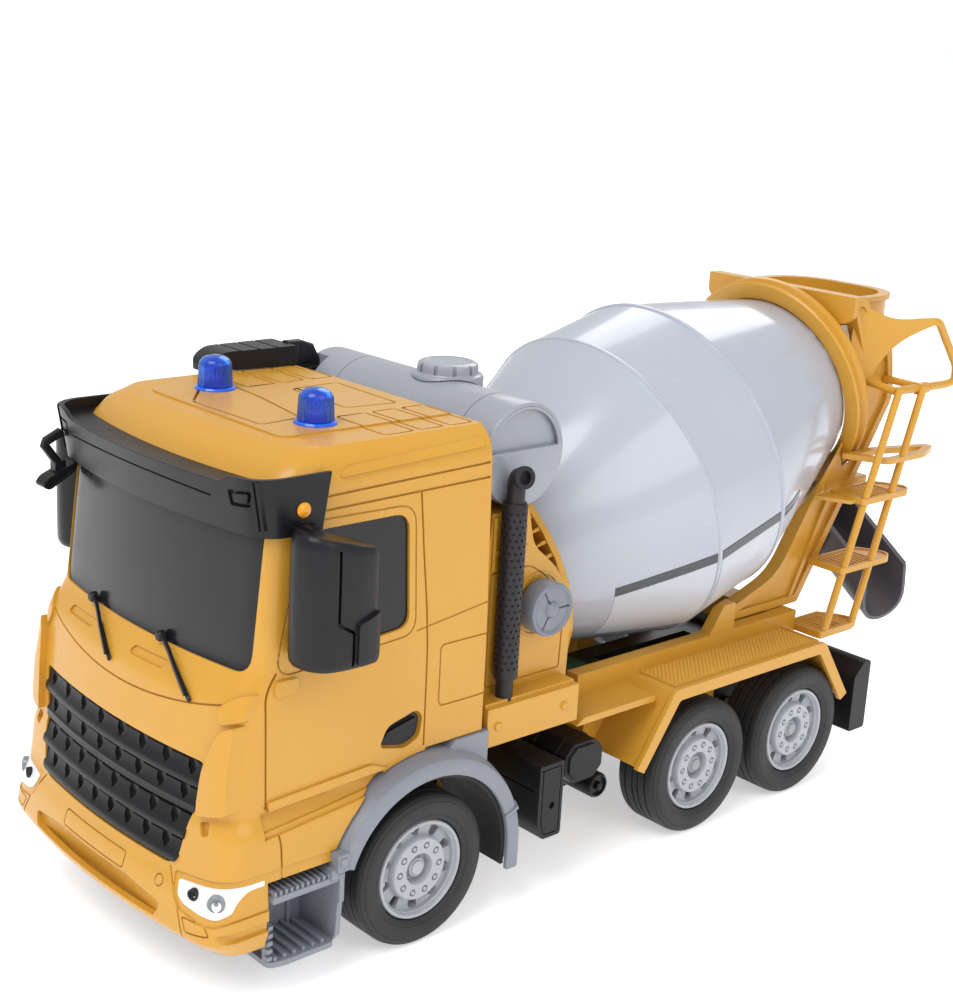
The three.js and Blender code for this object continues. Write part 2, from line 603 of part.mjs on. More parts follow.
// Ring gear on the front of the drum, with radial teeth that point forward
function crownGear() {
  const c = CROWN;
  const tooth = CROWN_TOOTH;
  const ring = [[c.inner, c.root], [c.outer, c.root], [c.outer, c.back], [c.inner, c.back]];
  const depth = c.root - c.tip;
  const wedge = outline([
    [-tooth.halfFoot, -0.3], [tooth.halfFoot, -0.3], [tooth.halfTip, depth], [-tooth.halfTip, depth],
  ]);
  const stand = new THREE.Matrix4().makeBasis(
    new THREE.Vector3(0, 0, 1), new THREE.Vector3(0, -1, 0), new THREE.Vector3(1, 0, 0));
  stand.setPosition(tooth.from, c.root, 0);
  const contact = Math.asin(knobOffset() / ((PINION.from + PINION.to) / 2));
  const teeth = Array.from({ length: c.teeth }, (_, k) => {
    const spin = new THREE.Matrix4().makeRotationY(-contact - (k * 2 * Math.PI) / c.teeth);
    const place = alongDrum().multiply(spin).multiply(stand);
    return moved(extrude(wedge, tooth.to - tooth.from), place);
  });
  return join([turned(ring, 30, alongDrum()), ...teeth]);
}

function drumKnob() {
  const k = KNOB;
  const profile = [
    [0, 44.6], [k.radius, 44.6], [k.radius, 50.6], [k.radius - 1.2, k.outerX], [0, k.outerX],
  ];
  const disc = turned(profile, 20, alongX(0, k.y, k.z));
  const grooves = [90, 210, 330].map((degrees) => {
    const angle = THREE.MathUtils.degToRad(degrees);
    const far = [k.outerX, k.y + 9 * Math.cos(angle), k.z + 9 * Math.sin(angle)];
    return rod([k.outerX, k.y + 3 * Math.cos(angle), k.z + 3 * Math.sin(angle)], far, 0.7, 6);
  });
  const shaft = rod([33, k.y, k.z], [47, k.y, k.z], k.shaftRadius, 14);
  const p = PINION;
  const firstTooth = DRUM_TILT + Math.PI / p.teeth;
  const pinion = gear(p.teeth, p.tip, p.root, p.from, p.to, k.y, k.z, firstTooth, 1);
  return join([cut(disc, grooves), shaft, pinion]);
}

function supportRing() {
  const profile = [[34, 215.5], [39.7, 216.5], [38.6, 219.2], [39.7, 222], [34, 223]];
  return turned(profile, 32, alongDrum());
}

function addDrum() {
  addPart('drive_housing', driveHousing(), YELLOW);
  addPart('water_tank', waterTank(), GREY);
  addPart('tank_cap', tankCap(), GREY);
  addPart('drum_shell', drumShell(), DRUM_GREY);
  addPart('crown_gear', crownGear(), YELLOW);
  addPart('drum_knob', drumKnob(), GREY);
  addPart('support_ring', supportRing(), YELLOW);
}

// Sub-frame under the drum with a fender over each pair of rear wheels
function rearDeck() {
  const fender = [
    [103.5, 54], [180, 54], [195.6, 31.6], [193.8, 30.6], [179, 51.6], [104.6, 51.6],
    [90, 29.8], [88.3, 30.8],
  ];
  const halves = [
    prismX(fender, 31, 56),
    box(33, 38, 76, 186, 50.3, 59.5),
    box(37, 50, 62.4, 88, 50.3, 52.3),
    box(RAIL_OUTER_X + GAP, 34, 84.5, 94, 28, 52),
    box(RAIL_OUTER_X + GAP, 34, 140, 149, 28, 52),
  ];
  const left = join(halves);
  const cross = [box(-38, 38, 62.4, 84, 50.3, 52.3), box(-38, 38, 176, 186, 50.3, 59.5)];
  return cut(join([left, mirrored(left), ...cross]), [crownWell()]);
}

// Pillars, cross bars and the loading hopper's rim; the drum's mouth and its ring pass between
function hopperFrame() {
  const pillar = prismX([
    [150, 59.8], [193, 59.8], [238, 131], [234, 150], [215, 168.5], [207, 168.5], [222, 138],
    [180, 72.5], [150, 62.5],
  ], 27.5, 31.5);
  const flange = box(-31.5, 31.5, 206.5, 211, 159.5, 168.8);
  const rim = cut(
    prismZ([[-25, 208, 1], [25, 208, 1], [25, 248.5, 21], [-25, 248.5, 21]], 161, 167),
    [prismZ([[-23, 205, 1], [23, 205, 1], [23, 246.5, 19.5], [-23, 246.5, 19.5]], 150, 170)],
  );
  const braces = boxPair(24, 29, 209, 216, 161, 167);
  const bridge = [box(-31.5, 31.5, 225, 229, 97.5, 102), ...boxPair(27.5, 31.5, 205, 229, 97.5, 102)];
  const bracket = cut(box(-5, 5, 227, 250, 98, 101), [rod([0, 244, 90], [0, 244, 110], 2.3, 12)]);
  const drumRoom = turned([[0, 140], [56, 156], [34.5, 218], [0, 218]], 30, alongDrum());
  const ring = rod(drumPoint(215, 0), drumPoint(223.5, 0), 40.3, 32);
  const frame = join([pillar, mirrored(pillar), flange, rim, ...braces, ...bridge, bracket]);
  return cut(frame, [ring, drumRoom]);
}

function handrail() {
  return bentRod([
    [34.6, 226, 150], [46, 224, 158], [46, 242, 160], [46, 256, 143], [46, 256.5, 136.5],
    [46, 219, 137.4], [34.6, 219, 139],
  ], 1.4, 5);
}

function ladder() {
  const rail = (points) => prismX(points, 46.8, 49.2);
  const front = rail([[188, 52.5], [191, 52.5], [220.2, 139], [217.2, 139]]);
  const rear = rail([[204.2, 52.5], [207.2, 52.5], [235, 138], [232, 138]]);
  const treads = [
    [186, 208, 52, 54], [195, 225, 74.3, 76], [203, 230, 98.4, 100.2], [208, 249, 111.6, 113.4],
  ];
  const plates = treads.map(([y0, y1, z0, z1]) => box(34.3, 49.2, y0, y1, z0, z1));
  return join([front, rear, ...plates, handrail()]);
}

// Open trough that hangs from its pivot pin; it points to the left at rest
function chute() {
  const c = CHUTE;
  const inner = c.halfWidth - c.wall;
  const trough = (r, u0, u1, top) => {
    const floor = -r - 1.2;
    return prismX([[-r, top], [-r, floor, r * 0.9], [r, floor, r * 0.9], [r, top]], u0, u1);
  };
  const bowl = cut(trough(c.halfWidth, c.back, c.end, 9), [trough(inner, c.back + 1.5, c.end + 9, 30)]);
  const strap = box(-4, 4, -c.halfWidth, c.halfWidth, 6.5, 9);
  const sloped = join([bowl, strap]).rotate([0, c.slope, 0]);
  const pin = rod([0, 0, 7], [0, 0, 21.8], 2, 12);
  return join([sloped, pin]).rotate([0, 0, c.aim]).translate([0, c.y, c.z]);
}

// Tank bracket on the chassis side, between the front wheel and the rear fender
function sideTank() {
  const step = prismX([[44, 43.3], [54, 43.3], [54, 19], [46, 19], [44, 24]], 31, 56);
  const tank = prismX([
    [58.5, 35], [62, 31.6], [71, 31.6], [74.5, 35], [74.5, 41], [71, 44.5], [62, 44.5], [58.5, 41],
  ], 31, 52.5);
  const bar = box(RAIL_OUTER_X + GAP, 32, 46, 72, 29, 40);
  const link = box(31, 45, 53, 60, 34, 40);
  const cylinder = rod([33, 79.6, 24], [48, 79.6, 24], 4.2, 14);
  const hanger = box(31, 36, 70, 80, 26, 36);
  return join([step, tank, bar, link, cylinder, hanger]);
}

function addRear() {
  addPart('rear_deck', rearDeck(), YELLOW);
  addPart('hopper_frame', hopperFrame(), YELLOW);
  addPart('ladder', ladder(), YELLOW);
  addPart('chute', chute(), GREY);
  addPart('side_tank', sideTank(), BLACK);
  const bar = prismX([[201, 15], [210, 15], [210, 41], [206, 41], [201, 36]], -55.8, 55.8);
  addPart('rear_bumper', bar, BLACK);
}

addChassis();
addWheels();
addCab();
cabTop();
addDrum();
addRear();

export default truck;
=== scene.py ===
import math

import bmesh
import bpy
from mathutils import Matrix, Vector


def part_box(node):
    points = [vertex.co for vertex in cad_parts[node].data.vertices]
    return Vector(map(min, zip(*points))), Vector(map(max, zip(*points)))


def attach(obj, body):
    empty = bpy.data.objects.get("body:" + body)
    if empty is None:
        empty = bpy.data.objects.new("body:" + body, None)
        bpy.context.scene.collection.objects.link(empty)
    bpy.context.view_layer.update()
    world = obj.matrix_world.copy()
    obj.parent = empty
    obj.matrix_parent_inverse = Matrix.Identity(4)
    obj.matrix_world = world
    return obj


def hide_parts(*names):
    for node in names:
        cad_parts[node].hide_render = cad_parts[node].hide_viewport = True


# The looks of a toy cement mixer truck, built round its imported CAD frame.
# Shapes are made in millimetres, with y counted from the front axle as in the CAD
# source, and each piece is moved to the frame's metres when it is added.
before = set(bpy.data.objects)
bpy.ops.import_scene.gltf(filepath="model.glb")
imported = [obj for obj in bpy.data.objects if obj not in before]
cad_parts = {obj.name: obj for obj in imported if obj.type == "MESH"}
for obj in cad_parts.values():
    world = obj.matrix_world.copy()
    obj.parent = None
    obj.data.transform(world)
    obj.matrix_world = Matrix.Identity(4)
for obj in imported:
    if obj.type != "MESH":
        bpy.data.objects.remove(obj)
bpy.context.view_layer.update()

MM = 0.001
wheel_low, wheel_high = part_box("tyre_front_left")
TO_FRAME = Matrix.Translation((0, (wheel_low.y + wheel_high.y) / 2, 0)) @ Matrix.Scale(MM, 4)


# ---------------------------------------------------------------- shapes from points
def shape(points, faces):
    """A mesh from points and faces, with its faces turned outwards."""
    mesh = bpy.data.meshes.new("shape")
    mesh.from_pydata([tuple(p) for p in points], [], faces)
    work = bmesh.new()
    work.from_mesh(mesh)
    bmesh.ops.remove_doubles(work, verts=work.verts, dist=1e-5)
    bmesh.ops.recalc_face_normals(work, faces=work.faces)
    bmesh.ops.triangulate(work, faces=work.faces)
    work.to_mesh(mesh)
    work.free()
    return mesh


def loft(rings):
    """Skins rings of equal length and caps both ends."""
    count = len(rings[0])
    points = [p for ring in rings for p in ring]
    faces = []
    for i in range(len(rings) - 1):
        a, b = i * count, (i + 1) * count
        faces += [(a + j, a + (j + 1) % count, b + (j + 1) % count, b + j) for j in range(count)]
    faces += [tuple(range(count)), tuple(range(len(points) - count, len(points)))]
    return shape(points, faces)


AXES = {
    "x": lambda u, v, w: (w, u, v),
    "y": lambda u, v, w: (u, w, v),
    "z": lambda u, v, w: (u, v, w),
}


def prism(outline, axis, low, high):
    """An outline pushed along an axis: (y, z) along x, (x, z) along y, (x, y) along z."""
    put = AXES[axis]
    return loft([[put(u, v, w) for u, v in outline] for w in (low, high)])


def block(x0, x1, y0, y1, z0, z1):
    return prism([(x0, y0), (x1, y0), (x1, y1), (x0, y1)], "z", z0, z1)


def rounded(corners, steps=5, closed=True):
    """Points of an outline whose corners [..., radius] are rounded off."""
    points = []
    count = len(corners)
    for i, corner in enumerate(corners):
        here, reach = Vector(corner[:-1]), corner[-1]
        if reach <= 0 or (not closed and i in (0, count - 1)):
            points.append(here)
            continue
        before = Vector(corners[i - 1][:-1]) - here
        after = Vector(corners[(i + 1) % count][:-1]) - here
        start = here + before.normalized() * min(reach, before.length / 2)
        end = here + after.normalized() * min(reach, after.length / 2)
        for k in range(steps + 1):
            t = k / steps
            points.append(start * (1 - t) ** 2 + here * 2 * t * (1 - t) + end * t * t)
    return points


def oblong(left, right, low, high, radius):
    """A rectangle's four corners, each with the same rounding."""
    return [(left, low, radius), (right, low, radius), (right, high, radius), (left, high, radius)]


def circle(radius, steps, u=0, v=0):
    return [(u + radius * math.cos(2 * math.pi * k / steps),
             v + radius * math.sin(2 * math.pi * k / steps)) for k in range(steps)]


def lathe(profile, steps=96, closed=True):
    """Turns (radius, height) round +Z. A profile that doesn't close starts and ends on the axis."""
    rings = []
    for k in range(steps):
        c, s = math.cos(2 * math.pi * k / steps), math.sin(2 * math.pi * k / steps)
        rings.append([(r * c, r * s, h) for r, h in profile])
    count = len(profile)
    points = [p for ring in rings for p in ring]
    faces = []
    for i in range(steps):
        a, b = i * count, ((i + 1) % steps) * count
        for j in range(count if closed else count - 1):
            k = (j + 1) % count
            quad = [a + j, a + k, b + k, b + j]
            if profile[j][0] == 0:
                quad.remove(b + j)
            if profile[k][0] == 0:
                quad.remove(b + k)
            if len(quad) > 2:
                faces.append(tuple(quad))
    return shape(points, faces)


def sweep(points, section, flat=None):
    """A bar of a given cross-section along a line of points; flat is the section's own up."""
    line = [Vector(p) for p in points]
    rings = []
    up = Vector(flat) if flat else None
    for i, here in enumerate(line):
        along = (line[min(i + 1, len(line) - 1)] - line[max(i - 1, 0)]).normalized()
        if up is None:
            up = along.orthogonal().normalized()
        side = along.cross(up).normalized()
        up = side.cross(along).normalized() if flat is None else up
        lift = side.cross(along).normalized()
        rings.append([here + side * u + lift * v for u, v in section])
    return loft(rings)


def tube(points, radius, bend=0.0, steps=16):
    """A round bar through points, each inner point rounded off by bend."""
    line = rounded([(*p, bend) for p in points], 6, closed=False) if bend else points
    return sweep(line, circle(radius, steps))


def copy(mesh, matrix=None):
    other = mesh.copy()
    if matrix is not None:
        other.transform(matrix)
        if matrix.determinant() < 0:
            other.flip_normals()
    return other


def moved(mesh, x=0.0, y=0.0):
    return copy(mesh, Matrix.Translation((x, y, 0.0)))


def mirrored(mesh):
    return copy(mesh, Matrix.Scale(-1, 4, Vector((1, 0, 0))))


def turned(mesh, degrees, axis):
    return copy(mesh, Matrix.Rotation(math.radians(degrees), 4, axis))


def along_x(mesh, x, y, z):
    """Stands a +Z shape along +X at a point."""
    return copy(mesh, Matrix.Translation((x, y, z)) @ Matrix.Rotation(math.pi / 2, 4, "Y"))


def boolean(kind, base, tools):
    """Joins, cuts or keeps the overlap of closed shapes, one tool after another."""
    scene = bpy.context.scene.collection
    host = bpy.data.objects.new("host", base)
    scene.objects.link(host)
    helpers = []
    for tool in tools:
        helper = bpy.data.objects.new("tool", tool)
        scene.objects.link(helper)
        helpers.append(helper)
        step = host.modifiers.new("step", "BOOLEAN")
        step.operation, step.solver, step.object = kind, "MANIFOLD", helper
    graph = bpy.context.evaluated_depsgraph_get()
    graph.update()
    result = bpy.data.meshes.new_from_object(host.evaluated_get(graph))
    for thing in [host, *helpers]:
        bpy.data.objects.remove(thing)
    return result


def join(*shapes):
    return boolean("UNION", shapes[0], shapes[1:])


def cut(base, *tools):
    return boolean("DIFFERENCE", base, tools)


def common(base, *tools):
    return boolean("INTERSECT", base, tools)


def together(*shapes):
    """Several closed shapes in one mesh, without joining their surfaces."""
    work = bmesh.new()
    for mesh in shapes:
        work.from_mesh(mesh)
    result = bpy.data.meshes.new("shape")
    work.to_mesh(result)
    work.free()
    return result


def stroke(points, width):
    """The outline of a flat line of a given width."""
    line = [Vector(p) for p in points]
    left, right = [], []
    for i, here in enumerate(line):
        before = (here - line[i - 1]).normalized() if i else None
        after = (line[i + 1] - here).normalized() if i + 1 < len(line) else None
        a, b = before or after, after or before
        mean = (a + b).normalized()
        reach = width / 2 / max(0.4, mean.dot(a))
        side = Vector((-mean.y, mean.x)) * reach
        left.append(here + side)
        right.append(here - side)
    return left + right[::-1]


def piece(name, mesh, body, finish, stands_for=(), bevel=0.0, smooth=32):
    """Adds a finished piece to the truck."""
    mesh.transform(TO_FRAME)
    mesh.name = name
    mesh.materials.clear()
    for look in finish if isinstance(finish, (list, tuple)) else [finish]:
        mesh.materials.append(look)
    mesh.shade_smooth()
    mesh.set_sharp_from_angle(angle=math.radians(smooth))
    thing = bpy.data.objects.new(name, mesh)
    bpy.context.scene.collection.objects.link(thing)
    if bevel:
        edge = thing.modifiers.new("edges", "BEVEL")
        edge.width, edge.segments, edge.limit_method = bevel * MM, 2, "ANGLE"
        edge.angle_limit = math.radians(38)
        edge.use_clamp_overlap = True
        edge.harden_normals = True
    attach(thing, body)
    if stands_for:
        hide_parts(*([stands_for] if isinstance(stands_for, str) else stands_for))
    return thing


# ---------------------------------------------------------------- materials
class Look:
    """Builds one procedural material step by step."""

    def __init__(self, name):
        self.material = bpy.data.materials.new(name)
        self.material.use_nodes = True
        self.tree = self.material.node_tree
        self.shader = self.tree.nodes["Principled BSDF"]
        self.place = self.add("ShaderNodeTexCoord").outputs["Object"]

    def add(self, kind, **values):
        node = self.tree.nodes.new(kind)
        for key, value in values.items():
            if hasattr(node, key):
                setattr(node, key, value)
            else:
                self.feed(node.inputs[key.replace("_", " ")], value)
        return node

    def feed(self, socket, value):
        if isinstance(value, bpy.types.NodeSocket):
            self.tree.links.new(value, socket)
        else:
            socket.default_value = value

    def noise(self, per_metre, detail=3.0, stretch=None):
        source = self.place
        if stretch:
            source = self.add("ShaderNodeMapping", Vector=self.place, Scale=stretch).outputs[0]
        return self.add("ShaderNodeTexNoise", Vector=source, Scale=per_metre, Detail=detail).outputs["Fac"]

    def ramp(self, value, low, high, start=0.0, end=1.0):
        return self.add("ShaderNodeMapRange", Value=value, From_Min=start, From_Max=end,
                        To_Min=low, To_Max=high).outputs[0]

    def mix(self, share, a, b, kind="MIX"):
        node = self.tree.nodes.new("ShaderNodeMix")
        node.data_type, node.blend_type = "RGBA", kind
        for index, value in ((0, share), (6, a), (7, b)):
            self.feed(node.inputs[index], value)
        return node.outputs[2]

    def math(self, operation, a, b=0.0):
        node = self.tree.nodes.new("ShaderNodeMath")
        node.operation = operation
        self.feed(node.inputs[0], a)
        self.feed(node.inputs[1], b)
        return node.outputs[0]

    def set(self, **values):
        for key, value in values.items():
            self.feed(self.shader.inputs[key.replace("_", " ")], value)


def rgb(red, green, blue):
    """A linear colour from the usual 0 to 255 numbers."""
    return tuple(((c / 255 + 0.055) / 1.055) ** 2.4 if c > 10 else c / 3294 for c in (red, green,
                                                                                      blue)) + (1.0,)


def plastic(name, colour, rough=0.4, deep=None, grain=2600, relief=0.012, wear_and_highlight=0.25,
            edge=0.35, coat=0.0, mottle=0.5, through=0.0, shine=0.5):
    """Moulded plastic: slightly uneven colour, a fine moulded grain, smudges, and edges lightened in patches
    as rubbed wear and painted highlight.
    """
    look = Look(name)
    dark = deep or tuple(c * 0.86 for c in colour[:3]) + (1.0,)
    # A lighter copy of the colour, laid on the edges as rubbed wear and painted edge highlight.
    light = tuple(min(1.0, c * 1.08 + 0.012) for c in colour[:3]) + (1.0,)
    cloud = look.ramp(look.noise(38, 4), 0.0, 1.0, 0.32, 0.68)
    shade = look.mix(look.math("MULTIPLY", cloud, mottle * 0.45), colour, dark)
    speck = look.ramp(look.noise(900, 2), 0.0, 0.5, 0.62, 0.78)
    shade = look.mix(look.math("MULTIPLY", speck, mottle * 0.3), shade, dark)
    bevel = look.tree.nodes.new("ShaderNodeBevel")
    bevel.samples = 4
    bevel.inputs["Radius"].default_value = edge * MM
    facing = look.add("ShaderNodeNewGeometry").outputs["Normal"]
    turn = look.tree.nodes.new("ShaderNodeVectorMath")
    turn.operation = "DOT_PRODUCT"
    look.feed(turn.inputs[0], bevel.outputs[0])
    look.feed(turn.inputs[1], facing)
    edges = look.ramp(turn.outputs["Value"], 1.0, 0.0, 0.78, 0.995)
    # Edges found from the bevel normal are lightened in noisy patches: partly rubbed wear, partly a painted
    # edge highlight.
    rubbed_and_highlit = look.math("MULTIPLY", edges, look.ramp(look.noise(210, 3), 0.0, 1.0, 0.35, 0.62))
    shade = look.mix(look.math("MULTIPLY", rubbed_and_highlit, wear_and_highlight), shade, light)
    smudge = look.ramp(look.noise(70, 5), rough - 0.05, rough + 0.07, 0.3, 0.7)
    scuff = look.ramp(look.noise(260, 2, (1.0, 0.12, 1.0)), 0.0, 0.045, 0.60, 0.75)
    fine = look.noise(grain, 2)
    bump = look.add("ShaderNodeBump", Strength=0.5, Distance=relief * MM, Height=fine,
                    Normal=bevel.outputs[0])
    look.set(Base_Color=shade, Roughness=look.math("ADD", smudge, scuff), Normal=bump.outputs[0],
             IOR=1.47, Coat_Weight=coat, Coat_Roughness=0.08, Transmission_Weight=through,
             Specular_IOR_Level=shine)
    return look.material


YELLOW = plastic("yellow_plastic", rgb(203, 150, 52), 0.32, rgb(195, 136, 30), wear_and_highlight=0.35, coat=0.12)
TREAD = plastic("yellow_tread", rgb(203, 150, 52), 0.36, rgb(195, 136, 30), wear_and_highlight=0.3, edge=0.04)
GREY = plastic("grey_plastic", rgb(132, 136, 146), 0.38)
TANK_GREY = plastic("tank_plastic", rgb(150, 154, 164), 0.30, coat=0.2)
DRUM = plastic("drum_plastic", rgb(173, 179, 191), 0.19, rgb(161, 167, 178), grain=1500, relief=0.006,
               coat=0.35, wear_and_highlight=0.15)
RIM = plastic("rim_plastic", rgb(172, 174, 180), 0.34, coat=0.1, wear_and_highlight=0.5)
BLACK = plastic("black_plastic", rgb(25, 25, 28), 0.34, rgb(19, 19, 21), wear_and_highlight=0.4, shine=0.3)
STACK = plastic("stack_plastic", rgb(38, 35, 39), 0.42, wear_and_highlight=0.4, shine=0.35)
TYRE = plastic("tyre", rgb(36, 37, 39), 0.55, rgb(27, 27, 29), grain=1800, relief=0.03, wear_and_highlight=0.6)
GLASS = plastic("dark_glass", rgb(26, 26, 29), 0.20, rgb(21, 21, 24), relief=0.002, wear_and_highlight=0.1, shine=0.4)
STEEL = plastic("steel", rgb(150, 151, 154), 0.3, relief=0.004)
NYLON = plastic("nylon", rgb(214, 212, 204), 0.5)
BOARD = plastic("board", rgb(31, 91, 58), 0.45, mottle=1.5)
CELL = plastic("cell_wrap", rgb(29, 79, 143), 0.35, mottle=1.2)
DARK = plastic("dark_gap", rgb(24, 23, 25), 0.6)
BLUE = plastic("blue_lens", rgb(18, 96, 226), 0.1, rgb(10, 70, 190), relief=0.002, coat=0.4)
CLEAR = plastic("clear_lens", rgb(236, 238, 241), 0.1, relief=0.001, coat=0.6, mottle=0.1)
CHROME = plastic("lamp_chrome", rgb(128, 131, 137), 0.12, relief=0.001, coat=0.3)
LINER = plastic("liner_plastic", rgb(26, 26, 28), 0.55, wear_and_highlight=0.3)
MIRROR = plastic("mirror_glass", rgb(168, 172, 178), 0.08, relief=0.001, coat=0.6, mottle=0.1)
BLUE_CLEAR = plastic("blue_clear_lens", rgb(60, 128, 248), 0.06, relief=0.001, mottle=0.2, through=0.85)
STRIPE = plastic("stripe_print", rgb(62, 66, 72), 0.30, relief=0.001, coat=0.2)
FILM = plastic("film_print", rgb(188, 193, 202), 0.32, rgb(182, 187, 197), relief=0.001, coat=0.1)
KNOB_GREY = plastic("knob_plastic", rgb(124, 128, 139), 0.32, wear_and_highlight=0.3)
CHUTE_GREY = plastic("chute_plastic", rgb(92, 90, 97), 0.40, wear_and_highlight=0.4)
AMBER = plastic("amber_lens", rgb(238, 160, 30), 0.2, coat=0.4)


# ---------------------------------------------------------------- the cab's outer form
GAP = 0.3
CAB_REAR = 22.6
CAB_HALF = 52
CAB_LEVELS = [
    (17, -70, 53.5), (22, -76, 55.5), (32, -74, 55.5), (38, -71.5, 54.7), (49.5, -70.2, 54.5),
    (52.5, -69.6, 53.2), (54.8, -68.6, 51.3), (56.2, -69, 52.1), (68, -68, 52), (84, -65, 52),
    (92.7, -60, 51.8), (129, -56.5, 50.6),
    (141, -52, 50.2), (146.5, -47, 48.5), (149, -41, 44),
]
ARCH = {"y": 1.5, "z": 22.5, "inner": 29.5, "outer": 34.5, "cut": 36}


def at_height(z, levels=CAB_LEVELS):
    """Front face and half width of the cab at a height."""
    for (z0, front0, half0), (z1, front1, half1) in zip(levels, levels[1:]):
        if z <= z1:
            t = max(0.0, (z - z0) / (z1 - z0))
            return front0 + (front1 - front0) * t, half0 + (half1 - half0) * t
    return levels[-1][1:]


def eased(z, reach, levels):
    """The same, with each crease between levels softened over a reach."""
    low, high = levels[0][0], levels[-1][0]
    samples = [at_height(min(high, max(low, z + reach * k / 4)), levels) for k in range(-4, 5)]
    return [sum(values) / len(samples) for values in zip(*samples)]


def face_y(x, z):
    """Where the cab's bowed front face stands at a point seen from the front."""
    front, half = at_height(z)
    return front + 4 * (x * CAB_HALF / half / 44) ** 2


def plan_points():
    """Half of the cab's plan, from the rear left corner round to the middle of the front."""
    side = [(CAB_HALF, CAB_REAR - (CAB_REAR + 54) * k / 12) for k in range(12)]
    corner = []
    for k in range(13):
        t = k / 12
        corner.append((CAB_HALF * (1 - t * t) + (CAB_HALF - 8) * t * t,
                       -54 * (1 - t) ** 2 - 62.5 * 2 * t * (1 - t) - 64 * t * t))
    face = [(44 * (1 - k / 20), -68 + 4 * (1 - k / 20) ** 2) for k in range(1, 21)]
    return side + corner + face


def cab_form(inset=0.0, levels=CAB_LEVELS, reach=1.6, top_inset=None, step=2.0):
    """The cab's outer form made smaller by an inset, or larger by a negative one."""
    half_plan = plan_points()
    plan = half_plan + [(-x, y) for x, y in half_plan[-2::-1]]
    low, high = levels[0][0], levels[-1][0]
    count = max(1, round((high - low) / step))
    heights = [low + (high - low) * k / count for k in range(count + 1)]
    rings = []
    for z in heights:
        front, half = eased(z, reach, levels)
        lowered = (inset if top_inset is None else top_inset) if z == heights[-1] else 0.0
        rings.append([
            (x * (half - inset) / CAB_HALF,
             y + ((front + inset + 68) * min(1.0, -y / 40) if y < 0 else -inset),
             z - lowered) for x, y in plan
        ])
    return loft(rings)


SKIN = {}


def skin(depth):
    if depth not in SKIN:
        SKIN[depth] = cab_form(depth)
    return copy(SKIN[depth])


def shallow(outlines, side, depth):
    """Cutters that reach a given depth below the cab's skin, from flat outlines."""
    reach = {"front": ("y", -90, -30), "left": ("x", 30, 70), "roof": ("z", 135, 160)}[side]
    tools = []
    for outline in outlines:
        tools.append(cut(prism(outline, *reach), skin(depth)))
    if side == "left":
        tools += [mirrored(tool) for tool in tools]
    return tools


def seams(lines, side, width=0.55, depth=0.55):
    return shallow([stroke(line, width) for line in lines], side, depth)


def rim_line(corners):
    """A rounded outline as a line that ends where it starts."""
    points = rounded(corners, 6)
    return points + [points[0], points[1]]


def raised(outline, side, height):
    """A pad that stands proud of the cab's skin, with its foot inside the wall."""
    reach = {"front": ("y", -90, -30), "left": ("x", 30, 70), "roof": ("z", 135, 160)}[side]
    foot = 1.5
    return cut(common(prism(outline, *reach), skin(-height)), skin(foot))


def grown(corners, by):
    mid_u = sum(p[0] for p in corners) / len(corners)
    mid_v = sum(p[1] for p in corners) / len(corners)
    return [(u + math.copysign(by, u - mid_u), v + math.copysign(by, v - mid_v), r) for u, v, r in corners]


WINDSHIELD = [(-47.5, 92.5, 5), (47.5, 92.5, 5), (47, 134, 2), (-47, 134, 2)]
SIDE_WINDOW = [(-47, 94, 5), (-5.9, 97, 4), (-6.6, 129, 5), (-39.5, 129, 5)]
GRILLE = [(-35.6, 38, 5), (35.6, 38, 5), (42, 68.5, 2.5), (-42, 68.5, 2.5)]
HEADLIGHT = [(38.4, 35.4, 0.8), (39.6, 32.4, 1), (42.2, 30.8, 1.5), (52.6, 29.4, 1.5), (54.1, 30.8, 0.8),
             (54.3, 37.0, 0.6)]
DEFLECTOR = [(42.2, 54.6, 1), (51.3, 57.0, 0.8), (50.6, 80.6, 0.8), (46.6, 78.8, 2.5), (42.9, 68, 8)]


def cab_openings():
    hollow = cab_form(2.0, [(10, -70, 54), *CAB_LEVELS[1:]])
    arch = along_x(prism(circle(ARCH["cut"] + GAP, 120), "z", 0, 40), 26, ARCH["y"], ARCH["z"])
    lamp = prism(rounded(HEADLIGHT), "y", -80, -54)
    return [
        hollow, block(-60, 60, -53, 30, 0, 36), arch, mirrored(arch), block(-60, 60, ARCH["y"], 30, 30, 59.6),
        prism(rounded(SIDE_WINDOW), "x", -60, 60), prism(rounded(WINDSHIELD), "y", -80, -30),
        prism(rounded(GRILLE), "y", -80, -50), lamp, mirrored(lamp),
    ]


